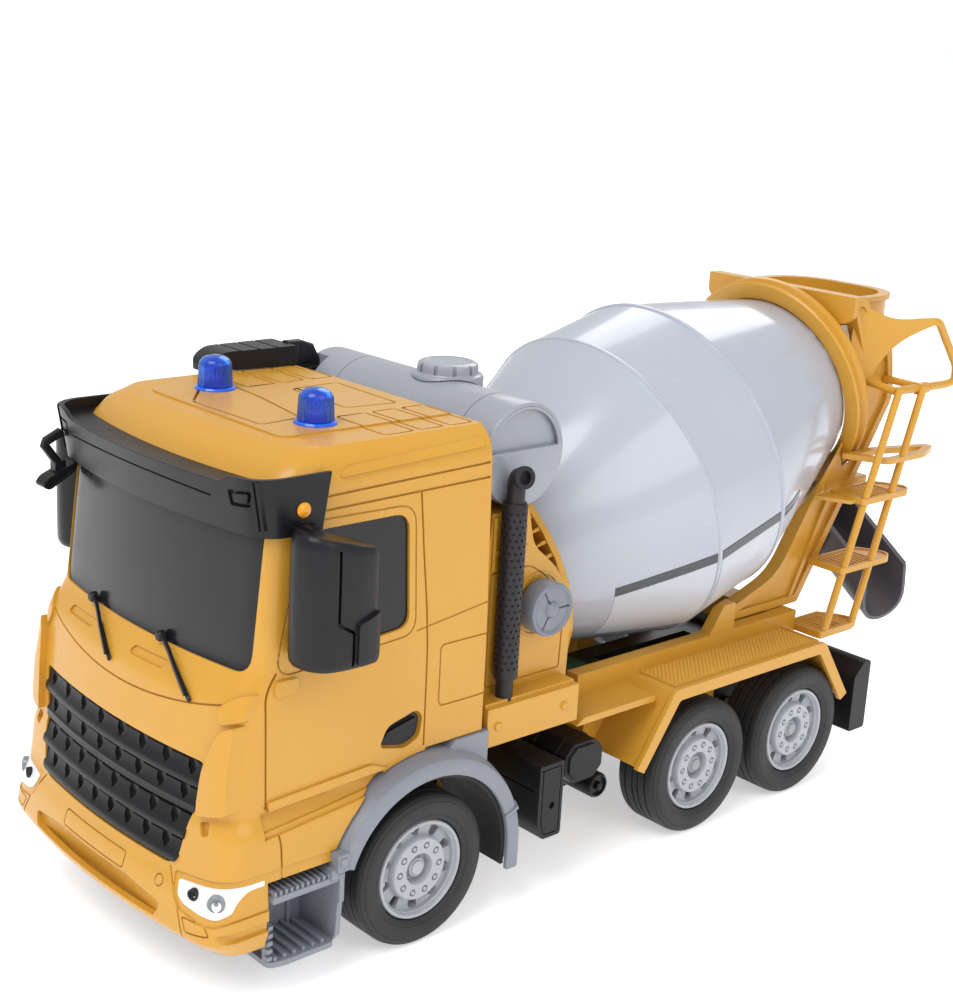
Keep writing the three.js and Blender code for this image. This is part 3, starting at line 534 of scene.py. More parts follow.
def cab_front_details():
    seam = [(x, 78.8 + 5.6 * (x / 44) ** 2) for x in range(-44, 45, 4)]
    lines = [seam] + [[(side * x, z) for x, z in ((33.8, 37.6), (40.0, 29.4), (43.2, 23.4), (43.4, 17.4))]
                      for side in (1, -1)]
    tools = seams(lines, "front", 0.5)
    for side in (1, -1):
        flip = [(side * u, v) for u, v in rounded([(36.0, 37.2, 1), (37.6, 31.6, 1), (40.4, 28.6, 1.5),
                                                   (53.0, 26.6, 3),
                                                   (57.5, 30, 1), (56.8, 39.4, 1)])]
        tools += shallow([flip], "front", 0.45)
        fog = [(42.6, 27.2, 0.8), (50.2, 27.4, 0.8), (52.0, 24.6, 0.8), (44.6, 23.8, 0.8)]
        tools += seams([[(side * u, v) for u, v in rim_line(fog)]], "front", 0.4, 0.4)
        vent = [(53.2, 25.0, 0.6), (56.5, 25.4, 0.8), (56.5, 22.0, 0.8), (54.2, 22.6, 0.6)]
        tools += shallow([[(side * u, v) for u, v in rounded(vent)]], "front", 1.0)
    for x in (-26.2, 11.4):
        cowl = [(x - 8.8, 86.2, 1.3), (x + 7, 86.4, 1.3), (x + 8.6, 88.9, 1.2), (x - 7.6, 88.6, 1.2)]
        tools += shallow([rounded(cowl)], "front", 0.7)
    tools += seams([circle(1.5, 20, 31.5, 33.0) + circle(1.5, 20, 31.5, 33.0)[:2]], "front", 0.35, 0.4)
    tools += seams([rim_line(oblong(-16, 16, 30.4, 34.8, 1))], "front", 0.4,
                   0.45)
    tools.append(prism(rounded([(-32, 23.4, 1), (32, 23.4, 1), (34, 27.5, 2.5), (18, 29.6, 1), (-18, 29.6, 1),
                                (-34, 27.5, 2.5)]), "y", -90, -71.6))
    return tools


def cab_side_details():
    front_seam = rounded([(-49.4, 93, 0), (-52.9, 87.2, 3), (-52.4, 55.6, 3), (-49, 46.7, 2), (-48.3, 33, 0)],
                         5, closed=False)
    rear_seam = [(-2.6, 134.2), (-1.2, 116), (0.2, 101), (0.7, 90), (0.8, 60.5)]
    eaves = [[(-34.5, 133.8), (22, 134.8)], [(-38, 137.3), (22, 139.0)]]
    belt = [(-3.2, 95.2), (22.4, 98.6)]
    hatch = rim_line(oblong(5.6, 23.5, 71, 89.2, 2))
    frame_line = rim_line([(-50, 91.8, 6), (-3.6, 94.6, 5), (-4.4, 131.2, 6), (-41, 131.6, 6)])
    tools = seams([front_seam, rear_seam, *eaves], "left", 0.6, 0.7)
    tools += seams([belt], "left", 0.5, 0.3)
    channel = [(-54, 48.4), (-54, 55.2), (-13, 56.8), (-13, 52.0)]
    deeper = [(-54, 49.9), (-54, 54.0), (-13, 55.9), (-13, 53.2)]
    tools += shallow([channel], "left", 0.9) + shallow([deeper], "left", 1.6)
    tools += seams([hatch, frame_line], "left", 0.45, 0.4)
    handle = rounded([(-15.2, 63.6, 2), (-6.1, 61.3, 2), (-0.9, 63.6, 1.5), (0.0, 69.6, 1.5),
                      (-2.3, 71.9, 1.5),
                      (-12.4, 69.3, 2)])
    tools += shallow([handle], "left", 1.6)
    return tools


def cab_roof_details():
    lines = [
        rim_line([(-12.5, -34, 2), (19, -33, 2), (17.5, -19, 2), (-10, -14, 3), (-24.5, -13, 2),
                  (-25, -24, 2)]),
        rim_line([(-13, 0, 2), (14, -1, 2), (16, 16, 2), (-14, 17, 2)]),
        *[rim_line(oblong(side * 21.5, side * 43, low, high, 1.5))
          for side in (1, -1) for low, high in ((-10, 0), (2.5, 10.5), (13, 21))],
    ]
    return seams(lines, "roof", 0.8, 0.6)


def cab_shell():
    body = cab_form(step=1.4)
    pads, dents = [], []
    for side in (1, -1):
        pads.append(raised([(side * u, v) for u, v in rounded(DEFLECTOR)], "front", 2.0))
        dent = [(42.2, 52.6, 0.8), (45.4, 53.4, 0.8), (46.2, 50.2, 0.8), (43.8, 49.0, 0.8)]
        dents += shallow([[(side * u, v) for u, v in rounded(dent)]], "front", 1.2)
        pads.append(raised([(side * u, v) for u,
                            v in rounded([(45.2, 79.6, 1), (50.8, 81.6, 0.8), (51.0, 88.4, 0.8),
                                                               (47.4, 87.4, 1.5), (43.0, 83.4, 2)])], "front",
                                                               0.8))
    roof_pad = raised(rounded([(-33, -36, 4), (33, -36, 4), (33.5, 21.5, 1), (-33.5, 21.5, 1)]), "roof", 0.5)
    ridge = raised(rounded([(-30, 141.8, 1), (20, 143.6, 1), (20, 146.0, 1), (-27, 144.4, 1)], 4), "left",
                   0.6)
    sill = raised(rounded([(-52.6, 55.3, 0.5), (-52.6, 58.0, 1.5), (-18, 59.8, 1.5), (-12, 57.2, 0.5)], 5),
                  "left", 0.8)
    bulge = raised(rounded([(-50.5, 86.4, 2), (-43, 87.0, 2), (-43, 91.0, 1.5), (-50.5, 91.0, 1.5)], 5),
                   "left", 0.9)
    body = join(body, *pads, roof_pad, ridge, mirrored(ridge), sill, mirrored(sill), bulge, mirrored(bulge))
    body = cut(body, *cab_openings(), *dents, *cab_front_details(), *cab_side_details(), *cab_roof_details())
    shelf = block(-34.5, 34.5, -71.8, -69.8, 20.5, 31)
    body = join(body, shelf)
    piece("cab_body", body, "truck_body", YELLOW, "cab_shell")


def panel(outer, inner, opening, step=2.0):
    """A curved sheet that follows the cab inside an opening."""
    return common(cut(cab_form(outer, step=step), cab_form(inner, step=step)), opening)


def cab_glass():
    screen = panel(0.5, 1.9, prism(rounded(grown(WINDSHIELD, -GAP)), "y", -80, -30))
    piece("windshield_pane", screen, "truck_body", GLASS, "windshield", bevel=0.3)
    pane = panel(0.9, 1.9, prism(rounded(grown(SIDE_WINDOW, -GAP)), "x", 40, 60))
    other = mirrored(pane)
    piece("window_left", pane, "truck_body", GLASS, "side_window_left", bevel=0.2)
    piece("window_right", other, "truck_body", GLASS, "side_window_right", bevel=0.2)


def door_handles():
    plate = common(cut(cab_form(1.0), cab_form(1.8)), prism(
        rounded([(-14.6, 64, 2), (-6.1, 62, 2), (-1.5, 64, 1.5), (-0.6, 69.4, 1.5), (-2.6, 71.2, 1.5),
                 (-12.1, 68.8, 2)]), "x", 40, 60))
    bar = common(cut(cab_form(-0.1), cab_form(1.2)), prism(
        rounded([(-13.4, 66.0, 1), (-2.4, 68.3, 1), (-2.2, 69.9, 1), (-12.6, 67.6, 1)]), "x", 40, 60))
    handle = together(plate, bar)
    other = mirrored(handle)
    piece("door_handle_left", handle, "truck_body", BLACK, bevel=0.15)
    piece("door_handle_right", other, "truck_body", BLACK, bevel=0.15)


def grille():
    rows, low, high = 4, 38.4, 68.1
    pitch = (high - low) / rows
    profile = [(1.7, 0.0), (-0.55, 0.10), (-0.75, 0.22), (-0.45, 0.36), (0.35, 0.50), (0.75, 0.90),
               (1.7, 1.0)]
    louvres = []
    for row in range(rows):
        rings = []
        for k in range(61):
            x = -44 + 88 * k / 60
            ring = []
            for depth, share in profile:
                z = low + pitch * (row + share)
                ring.append((x, face_y(x, z) + depth, z))
            ring += [(x, face_y(x, low + pitch * row) + 2.6, low + pitch * (row + share)) for share in (1.0,
                                                                                                        0.0)]
            rings.append(ring)
        louvres.append(loft(rings))
    bars = join(*louvres)
    holes = []
    for row in range(rows):
        z = low + pitch * (row + 0.70)
        reach = 28.5 + (z - low) * 0.30
        for k in range(8):
            x = -reach + 2 * reach * k / 7
            drop = rounded([(x - 1.7, z + 1.7, 0.6), (x + 1.7, z + 1.7, 0.6), (x + 1.5, z - 0.8, 0.8),
                            (x - 0.1, z - 2.3, 0.8), (x - 1.7, z - 0.6, 0.8)], 3)
            holes.append(prism(drop, "y", face_y(x, z) - 3, face_y(x, z) + 1.35))
    bars = cut(bars, *holes)
    opening = prism(rounded(grown(GRILLE, -GAP)), "y", -80, -50)
    inner = prism(rounded(grown(GRILLE, -1.5)), "y", -80, -50)
    border = cut(panel(-0.7, 1.8, opening), inner)
    backing = panel(1.5, 1.9, opening)
    grate = join(border, common(bars, opening), backing)
    piece("grille_louvres", grate, "truck_body", BLACK, "grille")


def headlights():
    outline = grown(HEADLIGHT, -GAP)
    lens = panel(0.15, 1.0, prism(rounded(outline), "y", -80, -54), 1.4)
    tray = panel(1.1, 1.9, prism(rounded(outline), "y", -80, -54), 1.4)
    lamps = {}
    for name, place, lean, radius in (("dip", (45.2, -70.3, 34.0), 20, 1.6),
                                      ("bowl", (52.3, -67.6, 33.4), 42, 2.4)):
        dish = lathe([(0.0, 0.9), (radius * 0.5, 0.75), (radius - 0.5, 0.1), (radius - 0.2, 0.0),
                      (radius, 0.2),
                      (radius, 1.6), (0.0, 1.6)], 40, closed=False)
        pip = lathe([(0.0, 0.3), (radius * 0.22, 0.4), (radius * 0.26, 1.2), (0.0, 1.2)], 20, closed=False)
        face = Matrix.Rotation(math.radians(lean), 4, "Z") @ Matrix.Rotation(-math.pi / 2, 4, "X")
        lamps[name] = copy(join(dish, pip), Matrix.Translation(place) @ face)
    for side, name in ((1, "left"), (-1, "right")):
        flip = copy if side > 0 else mirrored
        piece(f"headlight_lens_{name}", flip(lens), "truck_body", CLEAR, f"headlight_{name}")
        piece(f"headlight_tray_{name}", flip(tray), "truck_body", CLEAR)
        piece(f"headlight_bowl_{name}", flip(lamps["bowl"]), "truck_body", CHROME)
        piece(f"headlight_dip_{name}", flip(lamps["dip"]), "truck_body", DARK)


cab_shell()
cab_glass()
door_handles()
grille()
headlights()


# ---------------------------------------------------------------- wheels
TYRE_RADIUS = 23
WHEEL_X = 47.1
WHEELS = {
    "front_left": (0, 1, "front_wheel_left"), "front_right": (0, -1, "front_wheel_right"),
    "mid_left": (119.3, 1, "mid_wheels"), "mid_right": (119.3, -1, "mid_wheels"),
    "rear_left": (170.1, 1, "rear_wheels"), "rear_right": (170.1, -1, "rear_wheels"),
}


def tyre_shape():
    side = [(15.2, 6.6), (15.3, 7.2), (15.8, 7.7), (16.6, 8.0), (16.9, 7.9), (17.1, 8.15), (18.4, 8.45),
            (20.2, 8.45),
            (20.8, 8.3), (20.9, 8.1), (21.1, 8.2), (21.8, 7.9), (22.1, 7.65), (22.15, 7.35), (22.35, 7.4),
            (22.75, 6.9), (22.95, 6.2), (23.0, 5.3), (23.0, 4.6), (22.3, 4.5), (22.3, 4.0), (23.0, 3.9),
            (23.0, 1.5), (22.3, 1.4), (22.3, 0.9), (23.0, 0.8)]
    inner = [(r, -min(x, 6.8 + 0.25 * (r - 15.2))) for r, x in reversed(side)]
    profile = side + inner
    return lathe(profile, 160)


def rim_shape():
    profile = [
        (2.3, -3.0), (5.0, -3.0), (5.0, 2.6), (12.9, 2.6), (12.9, -7.4), (14.9, -7.4), (14.9, 6.9),
        (14.7, 7.3),
        (14.3, 7.5), (13.9, 7.4), (13.6, 7.0), (13.5, 6.2), (13.2, 5.9), (13.0, 4.6), (12.4, 4.0),
        (10.2, 4.0),
        (9.7, 4.4), (9.5, 6.3), (9.2, 6.7), (8.9, 6.8), (5.2, 6.8), (4.7, 6.6), (4.5, 6.1), (4.3, 3.6),
        (3.3, 3.4),
        (3.0, 3.8), (2.8, 5.4), (2.3, 5.6),
    ]
    disc = lathe(profile, 160)
    holes, seats, bolts = [], [], []
    for k in range(10):
        hole = prism(rounded([(9.75, -1.15, 0.9), (9.75, 1.15, 0.9), (13.0, 1.75, 1.2), (13.0, -1.75, 1.2)],
                             5),
                     "z", 1.0, 9.0)
        holes.append(turned(hole, 36 * k, "Z"))
        angle = 36 * k + 18
        seat = lathe([(0.0, 6.1), (0.95, 6.1), (1.15, 7.2), (0.0, 7.2)], 20, closed=False)
        seats.append(turned(moved(seat, x=7.2), angle, "Z"))
        nut = together(lathe([(0.0, 5.9), (0.72, 5.9), (0.72, 6.75), (0.5, 7.0), (0.0, 7.0)], 6,
                             closed=False))
        bolts.append(turned(moved(nut, x=7.2), angle, "Z"))
    disc = cut(disc, together(*holes), together(*seats))
    cap = lathe([(0.0, 3.0), (2.35, 3.0), (2.35, 5.3), (2.1, 5.9), (1.2, 6.2), (0.0, 6.3)], 48, closed=False)
    return join(disc, together(*bolts)), cap


def wheels():
    tyre, (rim, cap) = tyre_shape(), rim_shape()
    for name, (y, side, body) in WHEELS.items():
        stand = Matrix.Translation((side * WHEEL_X, y, TYRE_RADIUS)) @ Matrix.Rotation(side * math.pi / 2, 4,
                                                                                       "Y")
        piece(f"tyre_shape_{name}", copy(tyre, stand), body, TYRE, f"tyre_{name}")
        piece(f"rim_shape_{name}", copy(rim, stand), body, RIM, f"rim_{name}")
        piece(f"axle_cap_{name}", copy(cap, stand), body, RIM)


# ---------------------------------------------------------------- front fenders and steps
def arch_band(section, start, end, leg=0.0, steps=72):
    """Sweeps an (x, radius) section round the front wheel, from the rear leg's foot to the front."""
    stations = [(0.0, -leg * (1 - k / 6)) for k in range(6)] if leg else []
    stations += [(start + (end - start) * k / steps, 0.0) for k in range(steps + 1)]
    rings = []
    for angle, drop in stations:
        a = math.radians(angle)
        rings.append([(x, ARCH["y"] + r * math.cos(a), ARCH["z"] + r * math.sin(a) + drop) for x,
                      r in section])
    return loft(rings)


def fender_arch():
    section = [(48.8, 34.6), (48.8, 35.9), (52.4, 35.9), (53.6, 35.5), (55.4, 35.0), (56.8, 34.2),
               (57.4, 33.0),
               (57.4, 29.9), (57.1, 29.5), (55.9, 29.5), (55.9, 32.4), (55.0, 33.4)]
    band = arch_band(section, 0, 160, leg=8)
    patch = prism([(4, 52), (12, 59.3), (24.6, 59.3), (24.6, 46), (20, 50)], "x", 49, 53)
    joint = arch_band([(57.2, 29.2), (57.9, 29.2), (57.9, 34.4), (55.0, 35.9), (54.5, 35.3), (57.2, 33.8)],
                      19, 20.5,
                      steps=2)
    clip = [
        block(52.8, 57.9, -32.4, -28.6, 33.6, 38.8), block(56.6, 58.2, -31.6, -29.4, 35.0, 37.6),
        block(51.0, 56.8, -33.6, -29.2, 31.2, 34.4),
    ]
    return join(band, patch, joint, *clip)


def fender_steps():
    back = block(37.6, 39.0, -52.5, -29.6, 11, 33.8)
    rear_wall = prism([(38, 12), (53.6, 11), (55.4, 13.4), (56.2, 23.4), (56.9, 24.2), (56.9, 32.6),
                       (38, 32.6)],
                      "y", -31.0, -29.4)
    upper = block(38, 56.3, -52.3, -30.4, 30.2, 32.0)
    lower = prism(rounded([(38, -52.4, 0.4), (54.4, -52.4, 2), (55.6, -48, 2), (55.6, -31, 2),
                           (38, -29.6, 0.4)]),
                  "z", 10.4, 12.0)
    shapes = [back, rear_wall, upper, lower]
    shapes += [block(40, 56.1, -51.8 + 1.75 * k, -51.0 + 1.75 * k, 31.6, 33.4) for k in range(12)]
    shapes += [block(39.6, 54.6, -50.6 + 3.1 * k, -49.5 + 3.1 * k, 11.6, 13.2) for k in range(6)]
    shapes += [block(38.6, 40.0, -47.5, -46.3, 12, 31), block(38.6, 40.0, -36, -34.8, 12, 31),
               block(38.6, 39.8, -47.5, -34.8, 20.6, 21.8)]
    shapes.append(block(51.6, 53.2, -52.4, -50.8, 11, 23))
    shapes += [block(52.4, 54.4, -52.5, -50.9, 12.4 + 2.3 * k, 13.6 + 2.3 * k) for k in range(5)]
    return join(*shapes)


def fenders():
    arch, steps = fender_arch(), fender_steps()
    liner = arch_band([(30, 28.3), (30, 29.4), (55.7, 29.4), (55.7, 28.3)], 0, 152, leg=6.5)
    for side, name in ((1, "left"), (-1, "right")):
        flip = copy if side > 0 else mirrored
        piece(f"fender_arch_{name}", flip(arch), "truck_body", GREY, f"cab_fender_{name}")
        piece(f"entry_steps_{name}", flip(steps), "truck_body", GREY)
        piece(f"arch_liner_{name}", flip(liner), "truck_body", LINER)


wheels()
fenders()


# ---------------------------------------------------------------- visor, mirrors, lamps and pipes on the cab
def sun_visor():
    levels = [(127.5, -58.9, 51.9), (145, -62.0, 51.9)]
    outer = cab_form(0.0, levels, 0.0, step=1.5)
    hollow = cab_form(1.4, [(120, -57.6, 51.9), (140.2, -61.2, 51.9)], 0.0, top_inset=0.0, step=1.5)
    above = cab_form(1.2, [(141.2, -61.4, 51.9), (150, -62.9, 51.9)], 0.0, top_inset=0.0, step=1.5)
    edge = rounded([(-60, 129, 0), (60, 129, 0), (60, 144.6, 0), (41.5, 144.2, 2), (38, 142.0, 2),
                    (-38, 142.0, 2),
                    (-41.5, 144.2, 2), (-60, 144.6, 0)])
    ends = prism(rounded([(-80, 126, 0), (-36.9, 126, 2), (-33.6, 146, 1), (-80, 146, 0)]), "x", -60, 60)
    band = common(cut(outer, hollow, above, cab_form(-GAP)), prism(edge, "y", -90, -20), ends)
    line = [(x, 138.2 - 0.9 * (x / 38) ** 2) for x in range(-38, 35, 4)]
    inner = cab_form(0.4, levels, 0.0)
    tools = [cut(prism(stroke(line, 0.5), "y", -90, -40), inner)]
    deep = cab_form(0.8, levels, 0.0)
    for side in (1, -1):
        lamp_seat = rounded([(side * 40.6, 140.6, 0.8), (side * 48.2, 141.4, 0.8), (side * 47.4, 137.0, 0.8),
                             (side * 41.0, 136.4, 0.8)])
        tools.append(cut(prism(lamp_seat, "y", -90, -40), deep))
    band = cut(band, *tools)
    ribs = []
    for side in (1, -1):
        for x, low, high in ((49.6, 131.2, 144.0), (48.6, 131.0, 143.8)):
            strip = prism([(side * x, low), (side * (x + 0.5), low), (side * (x + 0.5), high),
                           (side * x, high)],
                          "y", -58, -50)
            ribs.append(common(cut(cab_form(-0.5, levels, 0.0), cab_form(0.6, levels, 0.0)), strip))
        lip = rounded([(side * 42.0, 139.8, 0.5), (side * 47.0, 140.4, 0.5), (side * 46.4, 137.9, 0.5),
                       (side * 42.2, 137.4, 0.5)])
        ribs.append(common(cut(cab_form(0.1, levels, 0.0), cab_form(1.0, levels, 0.0)),
                           prism(lip, "y", -90, -40)))
    band = join(band, *ribs)
    piece("visor_band", band, "truck_body", BLACK, "sun_visor", bevel=0.2)
    marker = lathe([(0.0, 0.0), (2.0, 0.0), (2.0, 0.7), (1.7, 1.1), (1.0, 1.5), (0.0, 1.6)], 32, closed=False)
    marker = along_x(marker, 51.7, -42.5, 135.6)
    other = mirrored(marker)
    piece("marker_left", marker, "truck_body", AMBER)
    piece("marker_right", other, "truck_body", AMBER)


def wipers():
    for name, x in (("left", 14.3), ("right", -22.6)):
        def on_face(u, z, off):
            return (u, face_y(u, z) - off, z)
        arm = sweep([on_face(x, 94.2, 1.0), on_face(x + 5, 91.6, 1.5), on_face(x + 10.5, 88.3, 1.5),
                     on_face(x + 17.6, 84.0, 1.3)],
                    [(-0.55, -0.45), (0.55, -0.45), (0.45, 0.45), (-0.45, 0.45)], flat=(0, -1, 0))
        blade = sweep([on_face(x + 7.5, 89.3, 0.95), on_face(x + 18.8, 82.6, 0.85)],
                      [(-0.75, -0.45), (0.75, -0.45), (0.3, 0.3), (-0.3, 0.3)], flat=(0, -1, 0))
        pivot = lathe([(0.0, 0.0), (1.5, 0.0), (1.5, 1.5), (1.1, 2.1), (0.0, 2.2)], 24, closed=False)
        y = face_y(x, 94)
        pivot = copy(pivot, Matrix.Translation((x, y - 0.3, 94.0)) @ Matrix.Rotation(math.pi / 2, 4, "X"))
        piece(f"wiper_arm_{name}", join(arm, blade, pivot), "truck_body", BLACK,
              f"wiper_{name}")


def mirror_head():
    plan = rounded([(52.8, -47.0, 2), (58.6, -51.4, 4.5), (67.5, -47.6, 5.5), (68.8, -36, 4),
                    (67.6, -28.7, 3), (59, -31, 4)], 6)
    mid = (62.0, -38.5)
    rings = []
    for z, size in ((97, 0.86), (97.5, 0.93), (98.6, 0.98), (100, 1.0), (110, 1.0), (120, 1.0), (128.5, 0.99),
                    (130.6, 0.96), (131.6, 0.91), (132, 0.84)):
        lean = max(0.0, (z - 112) / 20)
        rings.append([(mid[0] + (x - mid[0]) * size, mid[1] + (y - mid[1]) * size,
                       z - 0.22 * lean * (y + 47)) for x, y in plan])
    return loft(rings)


def door_mirrors():
    head = mirror_head()
    panel_edge = prism(stroke([(-42.5, 129), (-42.5, 109.8), (-38, 107), (-38, 98)], 0.8), "x", 66.5, 72)
    glass_seat = prism(rounded(oblong(58.8, 66.4, 100, 126, 2)), "y", -30.6,
                       -20)
    head = cut(head, panel_edge, glass_seat)
    lower = common(copy(mirror_head(), Matrix.Translation((1.1, 0.2, 0))),
                   prism(rounded([(-37.2, 97.8, 1.5), (-29.6, 97.8, 1.5), (-29.4, 111.5, 1),
                                  (-37.2, 109.2, 1)]),
                         "x", 62, 69.6))
    arm_top = sweep([(52.4, -42.6, 130.2), (54.5, -43.4, 131.0), (58.5, -43.0, 130.6), (61, -42, 128)],
                    rounded(oblong(-1.7, 1.7, -1.1, 1.1, 0.5), 3),
                    flat=(0, 1, 0))
    foot = block(51.6, 53.2, -45.4, -39.4, 127.4, 131.6)
    arm_low = sweep([(52.2, -43, 100.8), (55.5, -43.4, 100.2)],
                    rounded(oblong(-1.6, 1.6, -1.0, 1.0, 0.5), 3),
                    flat=(0, 1, 0))
    foot_low = block(51.7, 52.9, -46, -40, 98.6, 102.6)
    case = join(head, lower, arm_top, foot, arm_low, foot_low)
    glass = prism(rounded(grown(oblong(58.8, 66.4, 100, 126, 2), -0.25)),
                  "y",
                  -31.2, -30.2)
    for side, name in ((1, "left"), (-1, "right")):
        flip = copy if side > 0 else mirrored
        piece(f"mirror_case_{name}", flip(case), "truck_body", BLACK, f"door_mirror_{name}",
              bevel=0.25)
        piece(f"mirror_glass_{name}", flip(glass), "truck_body", MIRROR)


def kerb_mirror():
    bar = rounded(oblong(-1.2, 1.2, -1.0, 1.0, 0.4), 3)
    hook = sweep([(-47.6, -56.0, 136.0), (-48, -60.6, 133.6), (-48.2, -61.0, 132.6), (-48.2, -57.6, 127.8),
                  (-48.2, -56.6, 126.2)], bar, flat=(1, 0, 0))
    knuckle = block(-49.7, -46.7, -58.4, -55.0, 124.6, 127.6)
    paddle = prism(rounded([(-51.4, 127.2, 1.2), (-52.2, 124.2, 1.2), (-60.6, 119.4, 1.4),
                            (-62.9, 120.8, 1.4),
                            (-61.2, 123.0, 1.0)]), "x", -51, -46)
    dish = prism(rounded([(-53.6, 124.8, 0.8), (-54.0, 123.9, 0.8), (-60.2, 120.3, 0.8),
                          (-61.2, 121.3, 0.8)]),
                 "x", -46.4, -45.0)
    piece("kerb_mirror_case", join(hook, knuckle, cut(paddle, dish)), "truck_body", BLACK,
          "kerb_mirror", bevel=0.2)


def beacons():
    def flute(r, h, ribs, depth, steps=144):
        ring = []
        for k in range(steps):
            reach = r + depth * (0.5 - 0.5 * math.cos(ribs * 2 * math.pi * k / steps))
            angle = 2 * math.pi * k / steps
            ring.append((reach * math.cos(angle), reach * math.sin(angle), h))
        return ring

    outside = [flute(r, h, 24, d) for r, h, d in (
        (4.9, 1.0, 0.0), (4.9, 1.3, 0.22), (4.75, 4.0, 0.22), (4.6, 7.0, 0.22), (4.5, 7.8, 0.12),
        (4.35, 8.3, 0.0),
        (3.9, 8.9, 0.0), (3.0, 9.5, 0.0), (1.5, 9.9, 0.0), (0.4, 10.0, 0.0))]
    dome = cut(loft(outside), lathe([(0.0, 0.5), (4.0, 0.5), (3.8, 7.4), (3.2, 8.2), (1.5, 8.9), (0.0, 9.0)],
                                    64,
                                    closed=False))
    collar = lathe([(0.0, 0.0), (6.0, 0.0), (6.0, 0.5), (5.6, 1.0), (4.0, 1.0), (4.0, 0.8), (0.0, 0.8)], 96,
                   closed=False)
    core = together(lathe([(0.0, 0.9), (2.2, 0.9), (2.2, 3.4), (1.5, 3.8), (1.5, 6.2), (1.0, 6.8),
                           (0.0, 6.9)], 32,
                          closed=False))
    for name, x in (("left", 24.4), ("right", -24.4)):
        place = Matrix.Translation((x, -19, 149 + GAP))
        piece(f"beacon_dome_{name}", copy(dome, place), "truck_body", BLUE_CLEAR,
              f"beacon_{name}")
        piece(f"beacon_collar_{name}", copy(collar, place), "truck_body", BLUE)
        piece(f"beacon_core_{name}", copy(core, place), "truck_body", BLUE)


def air_intake():
    side = rounded([(-10, 149.4, 0.5), (-9.4, 152.4, 2), (-3, 155.2, 3), (24, 155.4, 2.4), (24, 149.4, 0.5)])
    plan = rounded([(-44.5, -10, 2), (-42, 11, 3), (-42, 24, 2), (-55, 24, 2), (-55.2, -4, 3), (-52, -10, 3)])
    top = common(prism(side, "x", -60, -40), prism(plan, "z", 140, 160))
    grooves = [block(-56, -41, y, y + 0.7, 154.7, 156) for y in (2.0, 8.5, 15.0)]
    slots = [block(-56, -54.6, -4 + 3.2 * k, -2.4 + 3.2 * k, 150.6, 153.4) for k in range(8)]
    elbow = sweep([(-47.5, 22, 151.6), (-47.5, 27, 151.6), (-47.5, 29.4, 150.9), (-47.5, 30.4, 149.0),
                   (-47.5, 30.4, 138.2)],
                  rounded(oblong(-4.4, 4.4, -1.9, 1.9, 1.4), 4),
                  flat=(1, 0, 0))
    collar = block(-52.4, -42.6, 27.9, 32.9, 146.2, 147.8)
    piece("intake_case", join(cut(top, *grooves, *slots), elbow, collar), "truck_body",
          BLACK,
          "air_intake", bevel=0.45)


def exhaust_stack():
    pipe = lathe([(0.0, 71.6), (3.3, 71.6), (3.7, 72.4), (3.7, 124.2), (3.3, 125.0), (0.0, 125.0)], 64,
                 closed=False)
    pipe = moved(pipe, 48, 34.5)
    dots = []
    for row in range(25):
        for k in range(12):
            angle = math.radians(30 * k + (15 if row % 2 else 0))
            dot = lathe([(0.0, 3.25), (0.42, 3.25), (0.42, 4.4), (0.0, 4.4)], 8, closed=False)
            spin = Matrix.Rotation(angle, 4, "Z") @ Matrix.Rotation(math.pi / 2, 4, "Y")
            dots.append(copy(dot, Matrix.Translation((48, 34.5, 75.5 + 1.95 * row)) @ spin))
    pipe = cut(pipe, together(*dots))
    bend = tube([(48, 34.5, 123), (48, 34.5, 132.6), (51.6, 33.8, 133.2)], 2.7, 3.2, 28)
    mouth = tube([(50.4, 34.1, 133.0), (53.4, 33.5, 133.4)], 2.0, steps=28)
    lip = cut(tube([(51.2, 33.9, 133.1), (52.3, 33.7, 133.3)], 3.3, steps=32), mouth)
    foot = lathe([(0.0, 65.1), (2.6, 65.1), (2.6, 71.0), (3.0, 71.8), (3.0, 73.0), (0.0, 73.0)], 40,
                 closed=False)
    stack = join(pipe, cut(bend, mouth), lip, moved(foot, 48, 34.5))
    piece("exhaust_pipe", stack, "truck_body", STACK, "exhaust_stack")


sun_visor()
wipers()
door_mirrors()
kerb_mirror()
beacons()
air_intake()
exhaust_stack()


# ---------------------------------------------------------------- drum, its gear cover, tank and knob
DRUM_TILT = math.radians(16.9)
DRUM_HEIGHT = 69.5
TO_DRUM = Matrix(((1, 0, 0, 0), (0, math.sin(DRUM_TILT), math.cos(DRUM_TILT), 0),
                  (0, -math.cos(DRUM_TILT), math.sin(DRUM_TILT), DRUM_HEIGHT), (0, 0, 0, 1)))
TANK = {"y": 41, "z": 137, "r": 15.5, "right": -48, "left": 44}
KNOB = {"y": 49.5, "z": 90.5, "r": 8.3}


def drum_radius(s):
    """Outer radius of the drum at a distance along its axis."""
    if s < 124.3:
        t = (s - 69) / 55.3
        return 30.5 + 23.7 * t + 3.2 * t * (1 - t)
    if s < 156.5:
        return 54.2 - 0.7 * (s - 124.3) / 32.2
    t = (s - 156.5) / 61.1
    return 53.5 - 20.8 * t + 1.6 * t * (1 - t)


